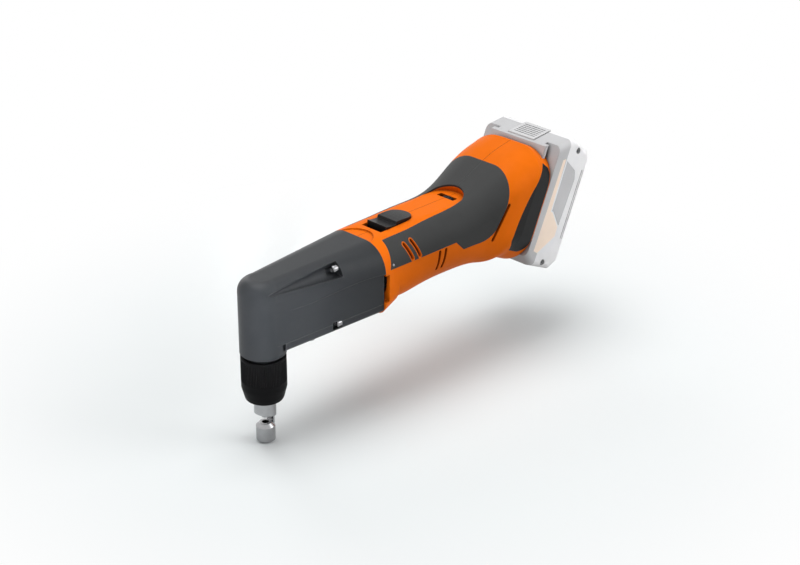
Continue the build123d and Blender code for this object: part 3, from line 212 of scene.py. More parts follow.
def vector(tree, operation, first, second):
    """Result of a vector math node: a value for a product or a distance, and a vector otherwise."""
    node = put(tree, "ShaderNodeVectorMath", {0: first, 1: second}, operation=operation)
    return node.outputs["Value" if operation in ("DOT_PRODUCT", "DISTANCE") else "Vector"]


def spread(tree, value, start, end, low=0.0, high=1.0):
    """Value mapped smoothly from one range to another."""
    sockets = {"Value": value, "From Min": start, "From Max": end, "To Min": low, "To Max": high}
    return put(tree, "ShaderNodeMapRange", sockets, interpolation_type="SMOOTHSTEP").outputs["Result"]


def blend(tree, share, first, second):
    """Mix of two colours, each a socket or three channels."""
    first, second = (end if isinstance(end, bpy.types.NodeSocket) else (*end, 1.0) for end in (first, second))
    return put(tree, "ShaderNodeMix", {0: share, 6: first, 7: second}, data_type="RGBA").outputs[2]


def place(tree):
    """Object coordinates of the surface."""
    return put(tree, "ShaderNodeTexCoord").outputs["Object"]


def noise(tree, where, scale, detail=3.0, roughness=0.55):
    """Noise value at a scale in cycles per metre."""
    sockets = {"Vector": where, "Scale": scale, "Detail": detail, "Roughness": roughness}
    return put(tree, "ShaderNodeTexNoise", sockets).outputs["Fac"]


def new_group(name, inputs, outputs):
    """Empty shader group with float inputs and named outputs; returns its tree and both ends."""
    tree = bpy.data.node_groups.new(name, "ShaderNodeTree")
    for label, value in inputs:
        socket = tree.interface.new_socket(name=label, in_out="INPUT", socket_type="NodeSocketFloat")
        socket.default_value = value
    for label, kind in outputs:
        tree.interface.new_socket(name=label, in_out="OUTPUT", socket_type=kind)
    return tree, tree.nodes.new("NodeGroupInput"), tree.nodes.new("NodeGroupOutput")


def grain_group():
    """Fine pebble of a moulded or painted skin: cells with noise for height, slow clouds for tone."""
    outputs = (("Height", "NodeSocketFloat"), ("Tone", "NodeSocketFloat"))
    tree, start, end = new_group("fine_grain", (("Cells", 1600.0), ("Clouds", 30.0)), outputs)
    where = place(tree)
    cell = put(tree, "ShaderNodeTexVoronoi", {"Vector": where, "Scale": start.outputs["Cells"]})
    rough = noise(tree, where, number(tree, "MULTIPLY", start.outputs["Cells"], 1.7), 4.0)
    height = number(tree, "ADD", number(tree, "MULTIPLY", cell.outputs["Distance"], 0.55), rough)
    tree.links.new(height, end.inputs["Height"])
    tree.links.new(noise(tree, where, start.outputs["Clouds"], 5.0, 0.6), end.inputs["Tone"])
    return tree


def edge_group():
    """Convex edges, lightened by rubbing and by painted highlight: the rounded normal set against the flat
    one, broken up by noise.
    """
    outputs = (("Wear", "NodeSocketFloat"), ("Normal", "NodeSocketVector"))
    tree, start, end = new_group("edge_wear", (("Radius", 0.0008), ("Breakup", 260.0)), outputs)
    rounded = put(tree, "ShaderNodeBevel", {"Radius": start.outputs["Radius"]}, samples=6)
    flat = put(tree, "ShaderNodeNewGeometry")
    same = vector(tree, "DOT_PRODUCT", rounded.outputs["Normal"], flat.outputs["Normal"])
    bend = spread(tree, number(tree, "SUBTRACT", 1.0, same), 0.015, 0.16)
    broken = spread(tree, noise(tree, place(tree), start.outputs["Breakup"], 4.0), 0.3, 0.7, 0.45, 1.0)
    tree.links.new(number(tree, "MULTIPLY", bend, broken), end.inputs["Wear"])
    tree.links.new(rounded.outputs["Normal"], end.inputs["Normal"])
    return tree


def streak_group():
    """Turning or grinding marks: noise drawn out by a different scale along each direction."""
    inputs = (("Along X", 60.0), ("Along Y", 60.0), ("Along Z", 5000.0))
    outputs = (("Height", "NodeSocketFloat"), ("Tone", "NodeSocketFloat"))
    tree, start, end = new_group("tool_marks", inputs, outputs)
    stretch = put(tree, "ShaderNodeCombineXYZ", {
        axis: start.outputs["Along " + axis] for axis in ("X", "Y", "Z")
    })
    where = place(tree)
    drawn = vector(tree, "MULTIPLY", where, stretch.outputs["Vector"])
    tree.links.new(noise(tree, drawn, 1.0, 3.0, 0.7), end.inputs["Height"])
    tree.links.new(noise(tree, where, 90.0, 4.0, 0.6), end.inputs["Tone"])
    return tree


def seam_group():
    """Parting line of two moulded halves: a thin band where the side coordinate is near zero."""
    tree, start, end = new_group("parting_line", (("Width", 0.00016),), (("Line", "NodeSocketFloat"),))
    side = put(tree, "ShaderNodeSeparateXYZ", {0: place(tree)}).outputs["Y"]
    away = number(tree, "DIVIDE", number(tree, "ABSOLUTE", side), start.outputs["Width"])
    tree.links.new(spread(tree, away, 0.6, 1.4, 1.0, 0.0), end.inputs["Line"])
    return tree


def cavity_group():
    """Painted shade in hollows: how much of the surroundings near the surface is closed off."""
    tree, start, end = new_group("cavity_shade", (("Reach", 0.006),), (("Shade", "NodeSocketFloat"),))
    open_share = put(tree, "ShaderNodeAmbientOcclusion", {"Distance": start.outputs["Reach"]}, samples=6)
    tree.links.new(spread(tree, open_share.outputs["AO"], 0.35, 0.95, 1.0, 0.0), end.inputs["Shade"])
    return tree


def set_inputs(node, values):
    """Sets input values of a node, given by name with underscores for spaces, and returns the node."""
    for key, value in values.items():
        node.inputs[key.replace("_", " ")].default_value = value
    return node


def use_group(tree, group, **values):
    """Group node with its own input values."""
    return set_inputs(put(tree, "ShaderNodeGroup", node_tree=group), values)


def new_material(name, **principled):
    """Material with one principled shader whose even values are set on its own sockets."""
    material = bpy.data.materials.new("finish_" + name)
    material.use_nodes = True
    tree = material.node_tree
    return material, tree, set_inputs(tree.nodes["Principled BSDF"], principled)


def shade(base, share):
    """Colour made lighter by a share of the way to white, or darker for a negative share."""
    target = 1.0 if share > 0 else 0.0
    return tuple(channel + (target - channel) * abs(share) for channel in base)


def slot_rims(tree):
    """Mask of the rims round the two front air slots: near to one of two straight runs in the side view."""
    flat = vector(tree, "MULTIPLY", place(tree), (1.0, 0.0, 1.0))
    mask = 0.0
    for start, end in FRONT_SLOTS:
        start, end = Vector(start) * MM, Vector(end) * MM
        run = end - start
        from_start = vector(tree, "SUBTRACT", flat, start)
        along = vector(tree, "DOT_PRODUCT", from_start, run)
        share = number(tree, "DIVIDE", along, run.length_squared, True)
        foot = put(tree, "ShaderNodeVectorMath", {0: run, "Scale": share}, operation="SCALE")
        away = vector(tree, "DISTANCE", from_start, foot.outputs["Vector"])
        mask = number(tree, "MAXIMUM", mask, spread(tree, away, *SLOT_RIM, 1.0, 0.0))
    return mask


def foot_crease(tree):
    """Mask of the fine crease across the top of the foot, at one depth before the pack's face; the skin
    darkens it as painted shade.
    """
    where = vector(tree, "SUBTRACT", place(tree), tuple(FOOT_POINT))
    depth = vector(tree, "DOT_PRODUCT", where, tuple(PACK_DEPTH))
    rise = vector(tree, "DOT_PRODUCT", where, tuple(SLIDE_UP))
    off = number(tree, "ABSOLUTE", number(tree, "ADD", depth, CREASE_DEPTH))
    line = spread(tree, off, *CREASE_EDGE, 1.0, 0.0)
    return number(tree, "MULTIPLY", line, spread(tree, rise, *CREASE_RISE))


def background_rays(tree):
    """Light path node of a tree, and the mask of the rays that show the background: those from the camera,
    in a reflection or through glass."""
    seen = put(tree, "ShaderNodeLightPath")
    rays = number(tree, "ADD", seen.outputs["Is Camera Ray"], seen.outputs["Is Glossy Ray"], True)
    return seen, number(tree, "ADD", rays, seen.outputs["Is Transmission Ray"], True)


def coat(tree, shader, tint, rub, bump):
    """Links the colour, the roughness and the bumped normal of a finish to its shader."""
    for socket, value in (("Base Color", tint), ("Roughness", rub), ("Normal", bump.outputs["Normal"])):
        tree.links.new(value, shader.inputs[socket])


def skin(
    name, groups, base, rough, cells, relief, worn, seam=False, edge=0.0007, deep=0.004, over=None, **even,
):
    """Moulded or painted skin: cloudy tone, pebbled bump, painted shade in hollows, edges lightened by
    rubbing and by painted highlight, on halves a parting line and a crease line of painted shade, and where
    it is given a mask painted over in a second colour."""
    material, tree, shader = new_material(name, **even)
    grain = use_group(tree, groups["grain"], Cells=cells)
    rubbed_and_lit_edges = use_group(tree, groups["edge"], Radius=edge)
    clouds = spread(tree, grain.outputs["Tone"], 0.3, 0.7)
    cloudy = blend(tree, clouds, shade(base, -0.08), shade(base, 0.004))
    # Painted shade: hollows are darkened towards black by how closed off they are
    hollow = use_group(tree, groups["cavity"], Reach=deep).outputs["Shade"]
    hollow_shaded = blend(tree, number(tree, "MULTIPLY", hollow, 0.75), cloudy, shade(base, -0.9))
    # Convex edges are lightened, partly as rubbed edges and partly as a painted highlight
    tint = blend(tree, number(tree, "MULTIPLY", rubbed_and_lit_edges.outputs["Wear"], 0.6), hollow_shaded, shade(base, worn))
    rub = spread(tree, grain.outputs["Tone"], 0.25, 0.75, rough - 0.05, rough + 0.06)
    height = grain.outputs["Height"]
    if over:
        tint = blend(tree, over[0](tree), tint, over[1])
    # The parting line and the foot's crease are darkened and sunk; the dark crease line is painted shade
    if seam:
        line = number(tree, "MAXIMUM", use_group(tree, groups["seam"]).outputs["Line"], foot_crease(tree))
        tint = blend(tree, line, tint, shade(base, -0.75))
        height = number(tree, "SUBTRACT", height, number(tree, "MULTIPLY", line, 3.0))
    bump = put(tree, "ShaderNodeBump", {
        "Height": height, "Normal": rubbed_and_lit_edges.outputs["Normal"], "Strength": relief, "Distance": GRAIN_DEPTH,
    })
    coat(tree, shader, tint, rub, bump)
    return material


def metal(name, groups, base, rough, marks, relief, worn=0.25, edge=0.0004, metallic=1.0, **even):
    """Machined metal: drawn-out tool marks, cloudy polish and brighter edges."""
    material, tree, shader = new_material(name, Metallic=metallic, **even)
    drawn = use_group(tree, groups["streak"], Along_X=marks[0], Along_Y=marks[1], Along_Z=marks[2])
    rubbed_and_lit_edges = use_group(tree, groups["edge"], Radius=edge)
    cloudy = blend(tree, spread(tree, drawn.outputs["Tone"], 0.3, 0.7), shade(base, -0.14), base)
    tint = blend(tree, number(tree, "MULTIPLY", rubbed_and_lit_edges.outputs["Wear"], 0.7), cloudy, shade(base, worn))
    polish = number(tree, "ADD", drawn.outputs["Height"], drawn.outputs["Tone"])
    rub = spread(tree, polish, 0.7, 1.3, rough - 0.05, rough + 0.07)
    bump = put(tree, "ShaderNodeBump", {
        "Height": drawn.outputs["Height"], "Normal": rubbed_and_lit_edges.outputs["Normal"], "Strength": relief,
        "Distance": MARK_DEPTH,
    })
    coat(tree, shader, tint, rub, bump)
    return material


def board_material(name, groups, base, tin):
    """Circuit board: green resist over a brick pattern of tracks, with tinned pads."""
    material, tree, shader = new_material(name)
    grain = use_group(tree, groups["grain"], Cells=900.0, Clouds=120.0)
    where = place(tree)
    track = put(tree, "ShaderNodeTexBrick", {
        "Vector": where, "Scale": 160.0, "Mortar Size": 0.03, "Color1": (0.0, 0.0, 0.0, 1.0),
        "Color2": (0.35, 0.35, 0.35, 1.0), "Mortar": (1.0, 1.0, 1.0, 1.0),
    })
    pads = put(tree, "ShaderNodeTexVoronoi", {"Vector": where, "Scale": 420.0, "Randomness": 0.35})
    pad = spread(tree, pads.outputs["Distance"], 0.16, 0.24, 1.0, 0.0)
    traced = blend(tree, track.outputs["Color"], base, shade(base, 0.12))
    tint = blend(tree, pad, traced, tin)
    rub = spread(tree, grain.outputs["Tone"], 0.3, 0.7, 0.28, 0.42)
    bump = put(tree, "ShaderNodeBump", {"Height": pad, "Strength": 0.4, "Distance": GRAIN_DEPTH})
    coat(tree, shader, tint, rub, bump)
    return material


# Which finish each node of the model takes
FINISH_NODES = {
    "cast_housing": ("gear_housing", "gear_case_lid"),
    "tool_steel": ("die", "punch"),
    "drive_steel": (
        "plunger", "eccentric_shaft", "eccentric_roller", "planet_carrier", "planet_pins", "planet_gear_1",
        "planet_gear_2", "planet_gear_3", "ring_gear", "sun_pinion", "rotor_shaft", "locking_balls",
        "sleeve_snap_ring", "front_shaft_bearing", "rear_shaft_bearing", "bearing_spacer",
        "motor_front_bearing", "motor_end_bearing", "latch_spring",
    ),
    "bright_screw": ("head_screws", "lid_screws", "shell_screws"),
    "black_sleeve": ("clamp_sleeve",),
    "bronze": ("guide_bush",),
    "flange_metal": ("motor_flange",),
    "lamination": ("stator_core", "rotor_core"),
    "copper": ("stator_windings", "tool_contacts", "pack_contacts"),
    "orange_shell": ("right_motor_shell", "left_motor_shell"),
    "soft_grip": ("right_grip", "left_grip"),
    "black_plastic": (
        "right_foot_insert", "left_foot_insert", "switch_slider", "switch_rod", "switch_module", "speed_dial",
        "dial_potentiometer", "terminal_block", "fan", "pack_latch",
    ),
    "circuit": ("control_board", "pack_board"),
    "pack_front": ("pack_front_shell",),
    "pack_rear": ("pack_base_shell",),
    "pack_button": ("release_button",),
    "pack_stripe": ("pack_side_stripes",),
    "cell_wrap": ("pack_cells",),
    "holder_plastic": ("cell_holders",),
}


def make_finishes(shades):
    """All materials of the nibbler by name, each from its maker and its own values."""
    groups = {
        "grain": grain_group(), "edge": edge_group(), "streak": streak_group(), "seam": seam_group(),
        "cavity": cavity_group(),
    }

    def tone(name):
        return tuple(getattr(shades, name))

    table = {
        "cast_housing": (skin, dict(
            base=tone("casting"), rough=0.40, cells=1900.0, relief=0.45, worn=0.07, edge=0.0009, deep=0.010,
            Specular_IOR_Level=0.22,
        )),
        "tool_steel": (metal, dict(base=tone("steel"), rough=0.20, marks=(90.0, 90.0, 5200.0), relief=0.25)),
        "drive_steel": (metal, dict(
            base=tone("drive"), rough=0.30, marks=(4200.0, 120.0, 120.0), relief=0.3,
        )),
        "bright_screw": (metal, dict(
            base=tone("screw"), rough=0.22, marks=(700.0, 700.0, 700.0), relief=0.15,
        )),
        "black_sleeve": (metal, dict(
            base=tone("sleeve"), rough=0.45, marks=(160.0, 160.0, 3600.0), relief=0.25, worn=0.015,
            metallic=0.0, Specular_IOR_Level=0.06,
        )),
        "bronze": (metal, dict(base=tone("bronze"), rough=0.32, marks=(120.0, 120.0, 3600.0), relief=0.3)),
        "flange_metal": (metal, dict(
            base=tone("flange"), rough=0.45, marks=(900.0, 900.0, 900.0), relief=0.6,
        )),
        "lamination": (metal, dict(
            base=tone("core"), rough=0.45, marks=(5200.0, 40.0, 40.0), relief=0.9, metallic=0.8,
        )),
        "copper": (metal, dict(base=tone("copper"), rough=0.35, marks=(3600.0, 3600.0, 160.0), relief=0.7)),
        "orange_shell": (skin, dict(
            base=tone("shell"), rough=0.46, cells=2200.0, relief=0.25, worn=0.03, seam=True, edge=0.0006,
            deep=0.007, Specular_IOR_Level=0.05,
        )),
        "soft_grip": (skin, dict(
            base=tone("grip"), rough=0.58, cells=1500.0, relief=0.5, worn=0.05, edge=0.0008,
            over=(slot_rims, tone("shell")), Specular_IOR_Level=0.14,
        )),
        "black_plastic": (skin, dict(
            base=tone("trim"), rough=0.34, cells=1700.0, relief=0.40, worn=0.08, Specular_IOR_Level=0.16,
        )),
        "circuit": (board_material, dict(base=tone("board"), tin=tone("pads"))),
        "pack_front": (skin, dict(base=tone("pack_front"), rough=0.50, cells=1800.0, relief=0.35, worn=0.15)),
        "pack_rear": (skin, dict(base=tone("pack_base"), rough=0.48, cells=1800.0, relief=0.35, worn=0.25)),
        "pack_button": (skin, dict(
            base=tone("button"), rough=0.50, cells=1800.0, relief=0.35, worn=0.15, deep=0.003,
        )),
        "pack_label": (skin, dict(base=tone("label"), rough=0.42, cells=2600.0, relief=0.15, worn=0.10)),
        "pack_stripe": (skin, dict(base=tone("stripe"), rough=0.45, cells=2000.0, relief=0.25, worn=0.12)),
        "cell_wrap": (skin, dict(base=tone("wrap"), rough=0.30, cells=300.0, relief=0.15, worn=0.10)),
        "holder_plastic": (skin, dict(base=tone("holder"), rough=0.5, cells=1700.0, relief=0.4, worn=0.06)),
    }
    return {name: make(name, groups, **values) for name, (make, values) in table.items()}


# Mesh helpers

def surface(name, points, loop_rows=False):
    """Closed mesh from grids of points, one grid per copy: neighbours on the grid span the quads, columns
    always close round, rows close round when loop_rows is set, and coincident points at poles merge."""
    copies, rows, columns = points.shape[:3]
    index = np.arange(copies * rows * columns).reshape(copies, rows, columns)
    if loop_rows:
        index = np.concatenate((index, index[:, :1]), axis=1)
    index = np.concatenate((index, index[:, :, :1]), axis=2)
    corners = (index[:, :-1, :-1], index[:, 1:, :-1], index[:, 1:, 1:], index[:, :-1, 1:])
    quads = np.stack(corners, axis=-1).reshape(-1, 4)
    mesh = bpy.data.meshes.new(name)
    mesh.from_pydata(points.reshape(-1, 3).tolist(), [], quads.tolist())
    work = bmesh.new()
    work.from_mesh(mesh)
    bmesh.ops.remove_doubles(work, verts=work.verts, dist=MERGE_GAP)
    bmesh.ops.recalc_face_normals(work, faces=work.faces)
    work.to_mesh(mesh)
    work.free()
    piece = bpy.data.objects.new(name, mesh)
    bpy.context.scene.collection.objects.link(piece)
    return piece


def dress(piece, finish, body, smooth=40.0):
    """Gives a new piece its material, its soft shading below an angle and the body it rides on."""
    material = bpy.data.materials.get("finish_" + finish)
    if material is None:
        raise RuntimeError("the finishes have to be made first")
    piece.data.materials.append(material)
    piece.data.shade_smooth()
    piece.data.set_sharp_from_angle(angle=radians(smooth))
    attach(piece, body)
    return piece


def runs(points, steps):
    """Points along straight runs: each run from one corner to the next gets its number of even steps."""
    corners = np.array(points, dtype=float)
    parts = [
        np.linspace(start, end, count, endpoint=False)
        for start, end, count in zip(corners, np.roll(corners, -1, axis=0), steps)
    ]
    return np.concatenate(parts)


def turned(radius, height, turn, axis, first):
    """Profile turned about an axis: the radius times the cosine of the turn along a first direction, times
    its sine along the second one that is square to both, and the height along the axis."""
    second = np.cross(axis, first)
    across = (radius * np.cos(turn))[..., None] * first + (radius * np.sin(turn))[..., None] * second
    return across + (height + 0.0 * turn)[..., None] * axis


class NIBBLER_OT_finishes(bpy.types.Operator):
    """Makes the materials and gives every node of the model its finish"""

    bl_idname = "nibbler.finishes"
    bl_label = "Finishes of all pieces"

    def execute(self, context):
        finishes = make_finishes(context.scene.nibbler_colours)
        waiting = set(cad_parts)
        for finish, names in FINISH_NODES.items():
            for name in names:
                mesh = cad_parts[name].data
                mesh.materials.clear()
                mesh.materials.append(finishes[finish])
                waiting.discard(name)
        if waiting:
            raise RuntimeError("nodes without a finish: " + ", ".join(sorted(waiting)))
        return {"FINISHED"}


class NIBBLER_OT_sleeve(bpy.types.Operator):
    """Knurled clamping sleeve: a closed profile turned about Z, whose radius in the knurled band is less by
    the ridge depth times a power of half of one minus the cosine of the ridge count times the angle"""

    bl_idname = "nibbler.sleeve"
    bl_label = "Knurled clamping sleeve"

    def execute(self, context):
        sizes = context.scene.nibbler_sizes
        low, high = (corner[2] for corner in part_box("clamp_sleeve"))
        outer, rim = sizes.sleeve_radius, sizes.sleeve_round
        mouth, cone_foot, bore, ring, throat = np.array((14.2, 14.45, 13.5, 14.4, 8.3)) * MM
        cone_top, inner_floor, ring_low, ring_high = np.array((44.5, 44.0, 65.5, 67.3)) * MM
        cone_gap, chamfer = 0.4 * MM, 0.6 * MM
        turn = np.linspace(0.0, pi / 2, 7)
        foot = np.stack((mouth - rim + rim * np.sin(turn), low + rim - rim * np.cos(turn)), axis=1)
        corners = (
            (cone_foot, low + rim + cone_gap), (outer, cone_top), (outer, sizes.band_low),
            (outer, sizes.band_high), (outer, high - chamfer), (outer - chamfer, high), (bore, high),
            (bore, ring_high), (ring, ring_high), (ring, ring_low), (bore, ring_low), (bore, inner_floor),
            (throat, inner_floor), (throat, low),
        )
        steps = (4, 4, 24, 2, 2, 2, 1, 1, 1, 1, 4, 1, 2, 1)
        profile = np.concatenate((foot, runs(corners, steps)))
        radius, level = profile[:, :1], profile[:, 1:]
        ridge_steps, ridge_power = 6, 0.7
        fade, margin = 0.7 * MM, 0.01 * MM
        angle = np.linspace(0.0, 2 * pi, sizes.ridge_count * ridge_steps, endpoint=False)[None, :]
        above = np.clip((level - sizes.band_low) / fade, 0, 1)
        below = np.clip((sizes.band_high - level) / fade, 0, 1)
        band = above * below * (radius > outer - margin)
        groove = 0.5 - 0.5 * np.cos(sizes.ridge_count * angle)
        reach = radius - sizes.ridge_depth * band * groove ** ridge_power
        points = turned(reach, level, angle, UPWARD, REARWARD)
        piece = dress(surface("knurled_sleeve", points[None], loop_rows=True), "black_sleeve", "sleeve", 30.0)
        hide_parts("clamp_sleeve")
        return {"FINISHED"}


def rounded(corners, radius, steps=6):
    """Closed outline with bent corners: at each corner a quadratic curve joins the two points that lie a
    radius away from it along its edges."""
    corners = np.array(corners, dtype=float)
    before = np.roll(corners, 1, axis=0) - corners
    after = np.roll(corners, -1, axis=0) - corners
    first = corners + radius * before / np.linalg.norm(before, axis=1, keepdims=True)
    last = corners + radius * after / np.linalg.norm(after, axis=1, keepdims=True)
    share = np.linspace(0.0, 1.0, steps)[None, :, None]
    bent = (1 - share) ** 2 * first[:, None] + 2 * share * (1 - share) * corners[:, None]
    return (bent + share ** 2 * last[:, None]).reshape(-1, 2)


def on_pack(depth, up, side):
    """Points on the pack, from depth behind the foot's face, height up the slide and place to the side."""
    return FOOT_POINT + depth[..., None] * PACK_DEPTH + up[..., None] * SLIDE_UP + side[..., None] * SIDE


def screw_caps(sizes, seats, axis, scale=1.0):
    """Domed screw heads on their seats: height over the radius is a flat-topped dome, sunk inside a socket
    whose edge radius waves six times round; below the rim the cap closes to its centre."""
    turn = np.linspace(0.0, 2 * pi, 48, endpoint=False)[None, :]
    share = np.array((0.0, 0.5, 0.8, 0.97, 1.0, 1.03, 1.2))[:, None]
    socket_rows, lobes, wave = 4, 6, 0.13
    dome_reach, sink = 1.02, 0.05 * MM
    inner = share * sizes.lobe_radius * (1.0 + wave * np.cos(lobes * turn))
    rest = np.linspace(0.0, 1.0, 9)[1:, None]
    outer = inner[-1:] + (sizes.screw_radius - inner[-1:]) * rest
    radius = np.concatenate((inner, outer))
    fall = (radius / (dome_reach * sizes.screw_radius)) ** 3
    height = sizes.screw_dome * np.sqrt(np.clip(1.0 - fall, 0.0, 1.0))
    height[:socket_rows] -= sizes.lobe_depth
    under = np.zeros((1, turn.shape[1]))
    radius = np.concatenate((radius, under + sizes.screw_radius, under))
    height = np.concatenate((height, under - sink, under - sink))
    axis = np.array(axis, dtype=float)
    first = np.cross(axis, REARWARD if axis[1] else SIDE)
    cap = turned(radius, height, turn, axis, first) * scale
    return np.array(seats, dtype=float)[:, None, None, :] * MM + cap[None]


class NIBBLER_OT_screws(bpy.types.Operator):
    """Domed, six-lobed heads on the screws of the head, the lid, the shell and the pack"""

    bl_idname = "nibbler.screws"
    bl_label = "Screw heads"

    def execute(self, context):
        sizes = context.scene.nibbler_sizes
        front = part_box("head_screws")[0][0] / MM
        head = [(front, side * out, level) for out, level in HEAD_SCREWS for side in (-1, 1)]
        dress(surface("head_screw_caps", screw_caps(sizes, head, (-1, 0, 0))), "bright_screw", "housing")
        lid_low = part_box("lid_screws")[0][2] / MM
        lid = [(LID_SCREW_X, side * LID_SCREW_SIDE, lid_low) for side in (-1, 1)]
        dress(surface("lid_screw_caps", screw_caps(sizes, lid, (0, 0, -1))), "bright_screw", "housing")
        shell = [(x, seat + SHELL_SCREW_RISE, level) for x, level, seat in SHELL_SCREWS]
        dress(surface("shell_screw_caps", screw_caps(sizes, shell, (0, 1, 0))), "bright_screw", "housing")
        depth, up = np.array(PACK_SCREWS).T * MM
        caps = []
        for side in (-1, 1):
            seats = on_pack(depth, up, np.full(len(PACK_SCREWS), side * PACK_SCREW_SIDE * MM)) / MM
            caps.append(screw_caps(sizes, seats, (0, side, 0), PACK_SCREW_SCALE))
        dress(surface("pack_screw_caps", np.concatenate(caps)), "bright_screw", "pack")
        return {"FINISHED"}


def hit(node, start, way):
    """Point in millimetres where a straight line from a start first meets a node, and the normal there."""
    found, point, normal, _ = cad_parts[node].ray_cast(Vector(start) * MM, Vector(way))
    if not found:
        raise RuntimeError("no surface of " + node + " in the way")
    return np.array(point) / MM, np.array(normal)


class NIBBLER_OT_pins(bpy.types.Operator):
    """Small domed pins near the front of the grips: a turned profile whose height over the radius is a round
    crown inside a raised ring, standing square to the surface under it"""

    bl_idname = "nibbler.pins"
    bl_label = "Pins of the grips"

    def execute(self, context):
        sizes = context.scene.nibbler_sizes
        share = np.array((0.0, 0.35, 0.6, 0.66, 0.74, 0.86, 0.96, 1.0, 1.0, 0.0))[:, None]
        rise = np.array((0.10, 0.08, 0.04, 0.10, 0.24, 0.28, 0.20, 0.08, -0.30, -0.30))[:, None]
        turn = np.linspace(0.0, 2 * pi, 24, endpoint=False)[None, :]
        pins = []
        for node, side in (("right_grip", -1.0), ("left_grip", 1.0)):
            spot, axis = hit(node, (PIN_X, side * PIN_START, PIN_LEVEL), (0.0, -side, 0.0))
            first = np.cross(axis, UPWARD)
            first = first / np.linalg.norm(first)
            pins.append(spot * MM + turned(share * sizes.pin_radius, rise * MM, turn, axis, first))
        dress(surface("grip_pins", np.stack(pins)), "bright_screw", "housing")
        return {"FINISHED"}


class NIBBLER_OT_labels(bpy.types.Operator):
    """Bare plates let into both sides of the pack: the outline is drawn in towards its middle row by row,
    from the middle of the back over a bevelled rim to the middle of the face"""

    bl_idname = "nibbler.labels"
    bl_label = "Bare plates of the pack"

    def execute(self, context):
        sizes = context.scene.nibbler_sizes
        outline = rounded(LABEL_CORNERS, LABEL_ROUND) * MM
        middle = outline.mean(axis=0)
        share = np.array((0.0, 0.6, 0.984, 0.984, 0.976, 0.6, 0.0))[:, None, None]
        flat = middle + (outline - middle)[None] * share
        rise = np.array((0.0, 0.0, 0.0, 0.7, 1.0, 1.0, 1.0))[:, None] * sizes.label_thickness
        level = LABEL_SEAT * MM + np.broadcast_to(rise, flat.shape[:2])
        points = np.stack([on_pack(flat[..., 0], flat[..., 1], side * level) for side in (-1, 1)])
        dress(surface("pack_labels", points), "pack_label", "pack", 20.0)
        return {"FINISHED"}


def floor_material():
    """Pale floor that keeps the shadow near the tool, turns white away from it where the background shows,
    and is duller for the light that it sends back up."""
    material, tree, shader = new_material("studio_floor", Roughness=0.9)
    where = place(tree)
    tint = blend(tree, spread(tree, noise(tree, where, 3.0), 0.3, 0.7), *FLOOR_TONES)
    far = spread(tree, vector(tree, "DISTANCE", where, FLOOR_MIDDLE), *FLOOR_FADE)
    seen, rays = background_rays(tree)
    tint = blend(tree, seen.outputs["Is Diffuse Ray"], tint, FLOOR_BOUNCE)
    tree.links.new(tint, shader.inputs["Base Color"])
    glow = put(tree, "ShaderNodeEmission", {"Color": (1.0, 1.0, 1.0, 1.0), "Strength": 1.0})
    mixed = put(tree, "ShaderNodeMixShader", {
        0: number(tree, "MULTIPLY", far, rays), 1: shader.outputs["BSDF"], 2: glow.outputs["Emission"],
    })
    tree.links.new(mixed.outputs["Shader"], tree.nodes["Material Output"].inputs["Surface"])
    return material


def white_sky(strength):
    """Even white light all round; seen directly or in a reflection it is plain white."""
    world = bpy.data.worlds.new("studio_sky")
    world.use_nodes = True
    tree = world.node_tree
    sky = tree.nodes["Background"]
    rays = background_rays(tree)[1]
    sky.inputs["Color"].default_value = (1.0, 1.0, 1.0, 1.0)
    tree.links.new(spread(tree, rays, 0.0, 1.0, strength, 1.0), sky.inputs["Strength"])
    return world


def soft_light(name, watts, size, place_at, aim, spread_angle):
    """Rectangular area light that faces a point; a narrow one is left out of reflections."""
    lamp = bpy.data.lights.new(name, "AREA")
    lamp.shape = "RECTANGLE"
    lamp.size, lamp.size_y = size
    lamp.energy = watts
    lamp.spread = spread_angle
    holder = bpy.data.objects.new(name, lamp)
    bpy.context.scene.collection.objects.link(holder)
    holder.location = place_at
    holder.rotation_euler = (Vector(aim) - Vector(place_at)).to_track_quat("-Z", "Y").to_euler()
    # The glare of a narrow light would whiten flat tops seen against it
    holder.visible_glossy = spread_angle >= pi


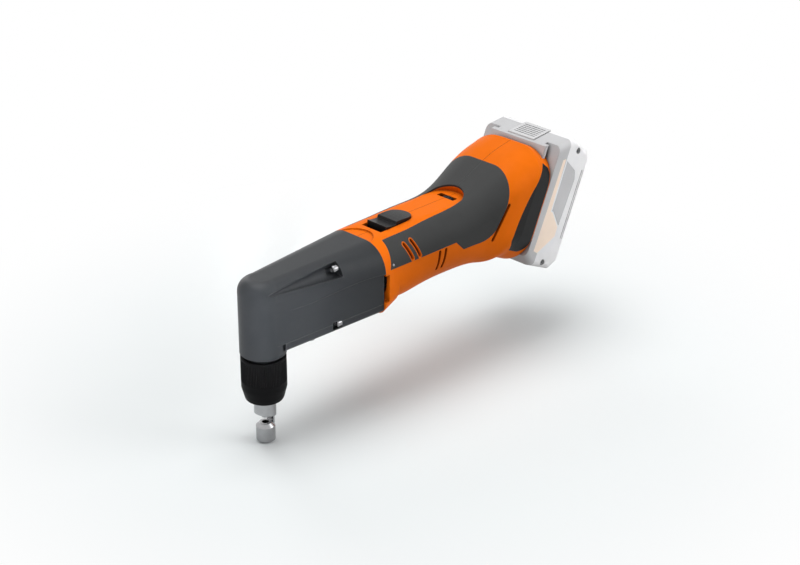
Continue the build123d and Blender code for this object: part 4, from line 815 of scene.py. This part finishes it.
class NIBBLER_OT_stage(bpy.types.Operator):
    """Floor, sky, soft lights and the camera at the view of the photograph"""

    bl_idname = "nibbler.stage"
    bl_label = "Studio stage"

    def execute(self, context):
        scene = context.scene
        stage = scene.nibbler_stage
        corners = np.array(((-1, -1), (1, -1), (1, 1), (-1, 1)), dtype=float) * FLOOR_REACH
        points = np.concatenate((corners, np.full((4, 1), FLOOR_LEVEL)), axis=1)
        mesh = bpy.data.meshes.new("floor")
        mesh.from_pydata(points.tolist(), [], [(0, 1, 2, 3)])
        mesh.materials.append(floor_material())
        floor = bpy.data.objects.new("floor", mesh)
        scene.collection.objects.link(floor)
        scene.world = white_sky(stage.sky)
        for name, value, size, place_at, aim, spread_angle in LIGHTS:
            soft_light(name, getattr(stage, value), size, place_at, aim, spread_angle)
        view = bpy.data.cameras.new("photo_view")
        view.sensor_width = SENSOR_WIDTH
        view.lens = stage.lens
        view.clip_start = CLIP_START
        camera = bpy.data.objects.new("photo_view", view)
        scene.collection.objects.link(camera)
        back = Vector((
            sin(stage.azimuth) * cos(stage.elevation), -cos(stage.azimuth) * cos(stage.elevation),
            sin(stage.elevation),
        ))
        right = Vector((0, 0, 1)).cross(back).normalized()
        turn = Matrix((right, back.cross(right), back)).transposed()
        camera.matrix_world = Matrix.Translation(stage.camera_place) @ turn.to_4x4()
        scene.camera = camera
        scene.view_settings.view_transform = "Standard"
        return {"FINISHED"}


OPERATORS = (
    NIBBLER_OT_finishes, NIBBLER_OT_sleeve, NIBBLER_OT_screws, NIBBLER_OT_pins, NIBBLER_OT_labels,
    NIBBLER_OT_stage,
)
PROPERTY_GROUPS = (
    ("nibbler_colours", NibblerColours), ("nibbler_sizes", NibblerSizes), ("nibbler_stage", NibblerStage),
)


class NIBBLER_PT_panel(bpy.types.Panel):
    """Lists the steps that dress the nibbler, and the values they read"""

    bl_label = "Cordless nibbler"
    bl_space_type = "VIEW_3D"
    bl_region_type = "UI"
    bl_category = "Nibbler"

    def draw(self, context):
        for operator in OPERATORS:
            self.layout.operator(operator.bl_idname)
        for name, group in PROPERTY_GROUPS:
            column = self.layout.column()
            column.label(text=group.__doc__)
            for key in group.__annotations__:
                column.prop(getattr(context.scene, name), key)


def register():
    for name, group in PROPERTY_GROUPS:
        bpy.utils.register_class(group)
        setattr(bpy.types.Scene, name, PointerProperty(type=group))
    for operator in OPERATORS:
        bpy.utils.register_class(operator)
    bpy.utils.register_class(NIBBLER_PT_panel)


def unregister():
    bpy.utils.unregister_class(NIBBLER_PT_panel)
    for operator in reversed(OPERATORS):
        bpy.utils.unregister_class(operator)
    for name, group in reversed(PROPERTY_GROUPS):
        delattr(bpy.types.Scene, name)
        bpy.utils.unregister_class(group)


def main():
    """Registers the classes and runs every step in order."""
    register()
    bpy.ops.nibbler.finishes()
    bpy.ops.nibbler.sleeve()
    bpy.ops.nibbler.screws()
    bpy.ops.nibbler.pins()
    bpy.ops.nibbler.labels()
    bpy.ops.nibbler.stage()


if __name__ == "__main__":
    main()
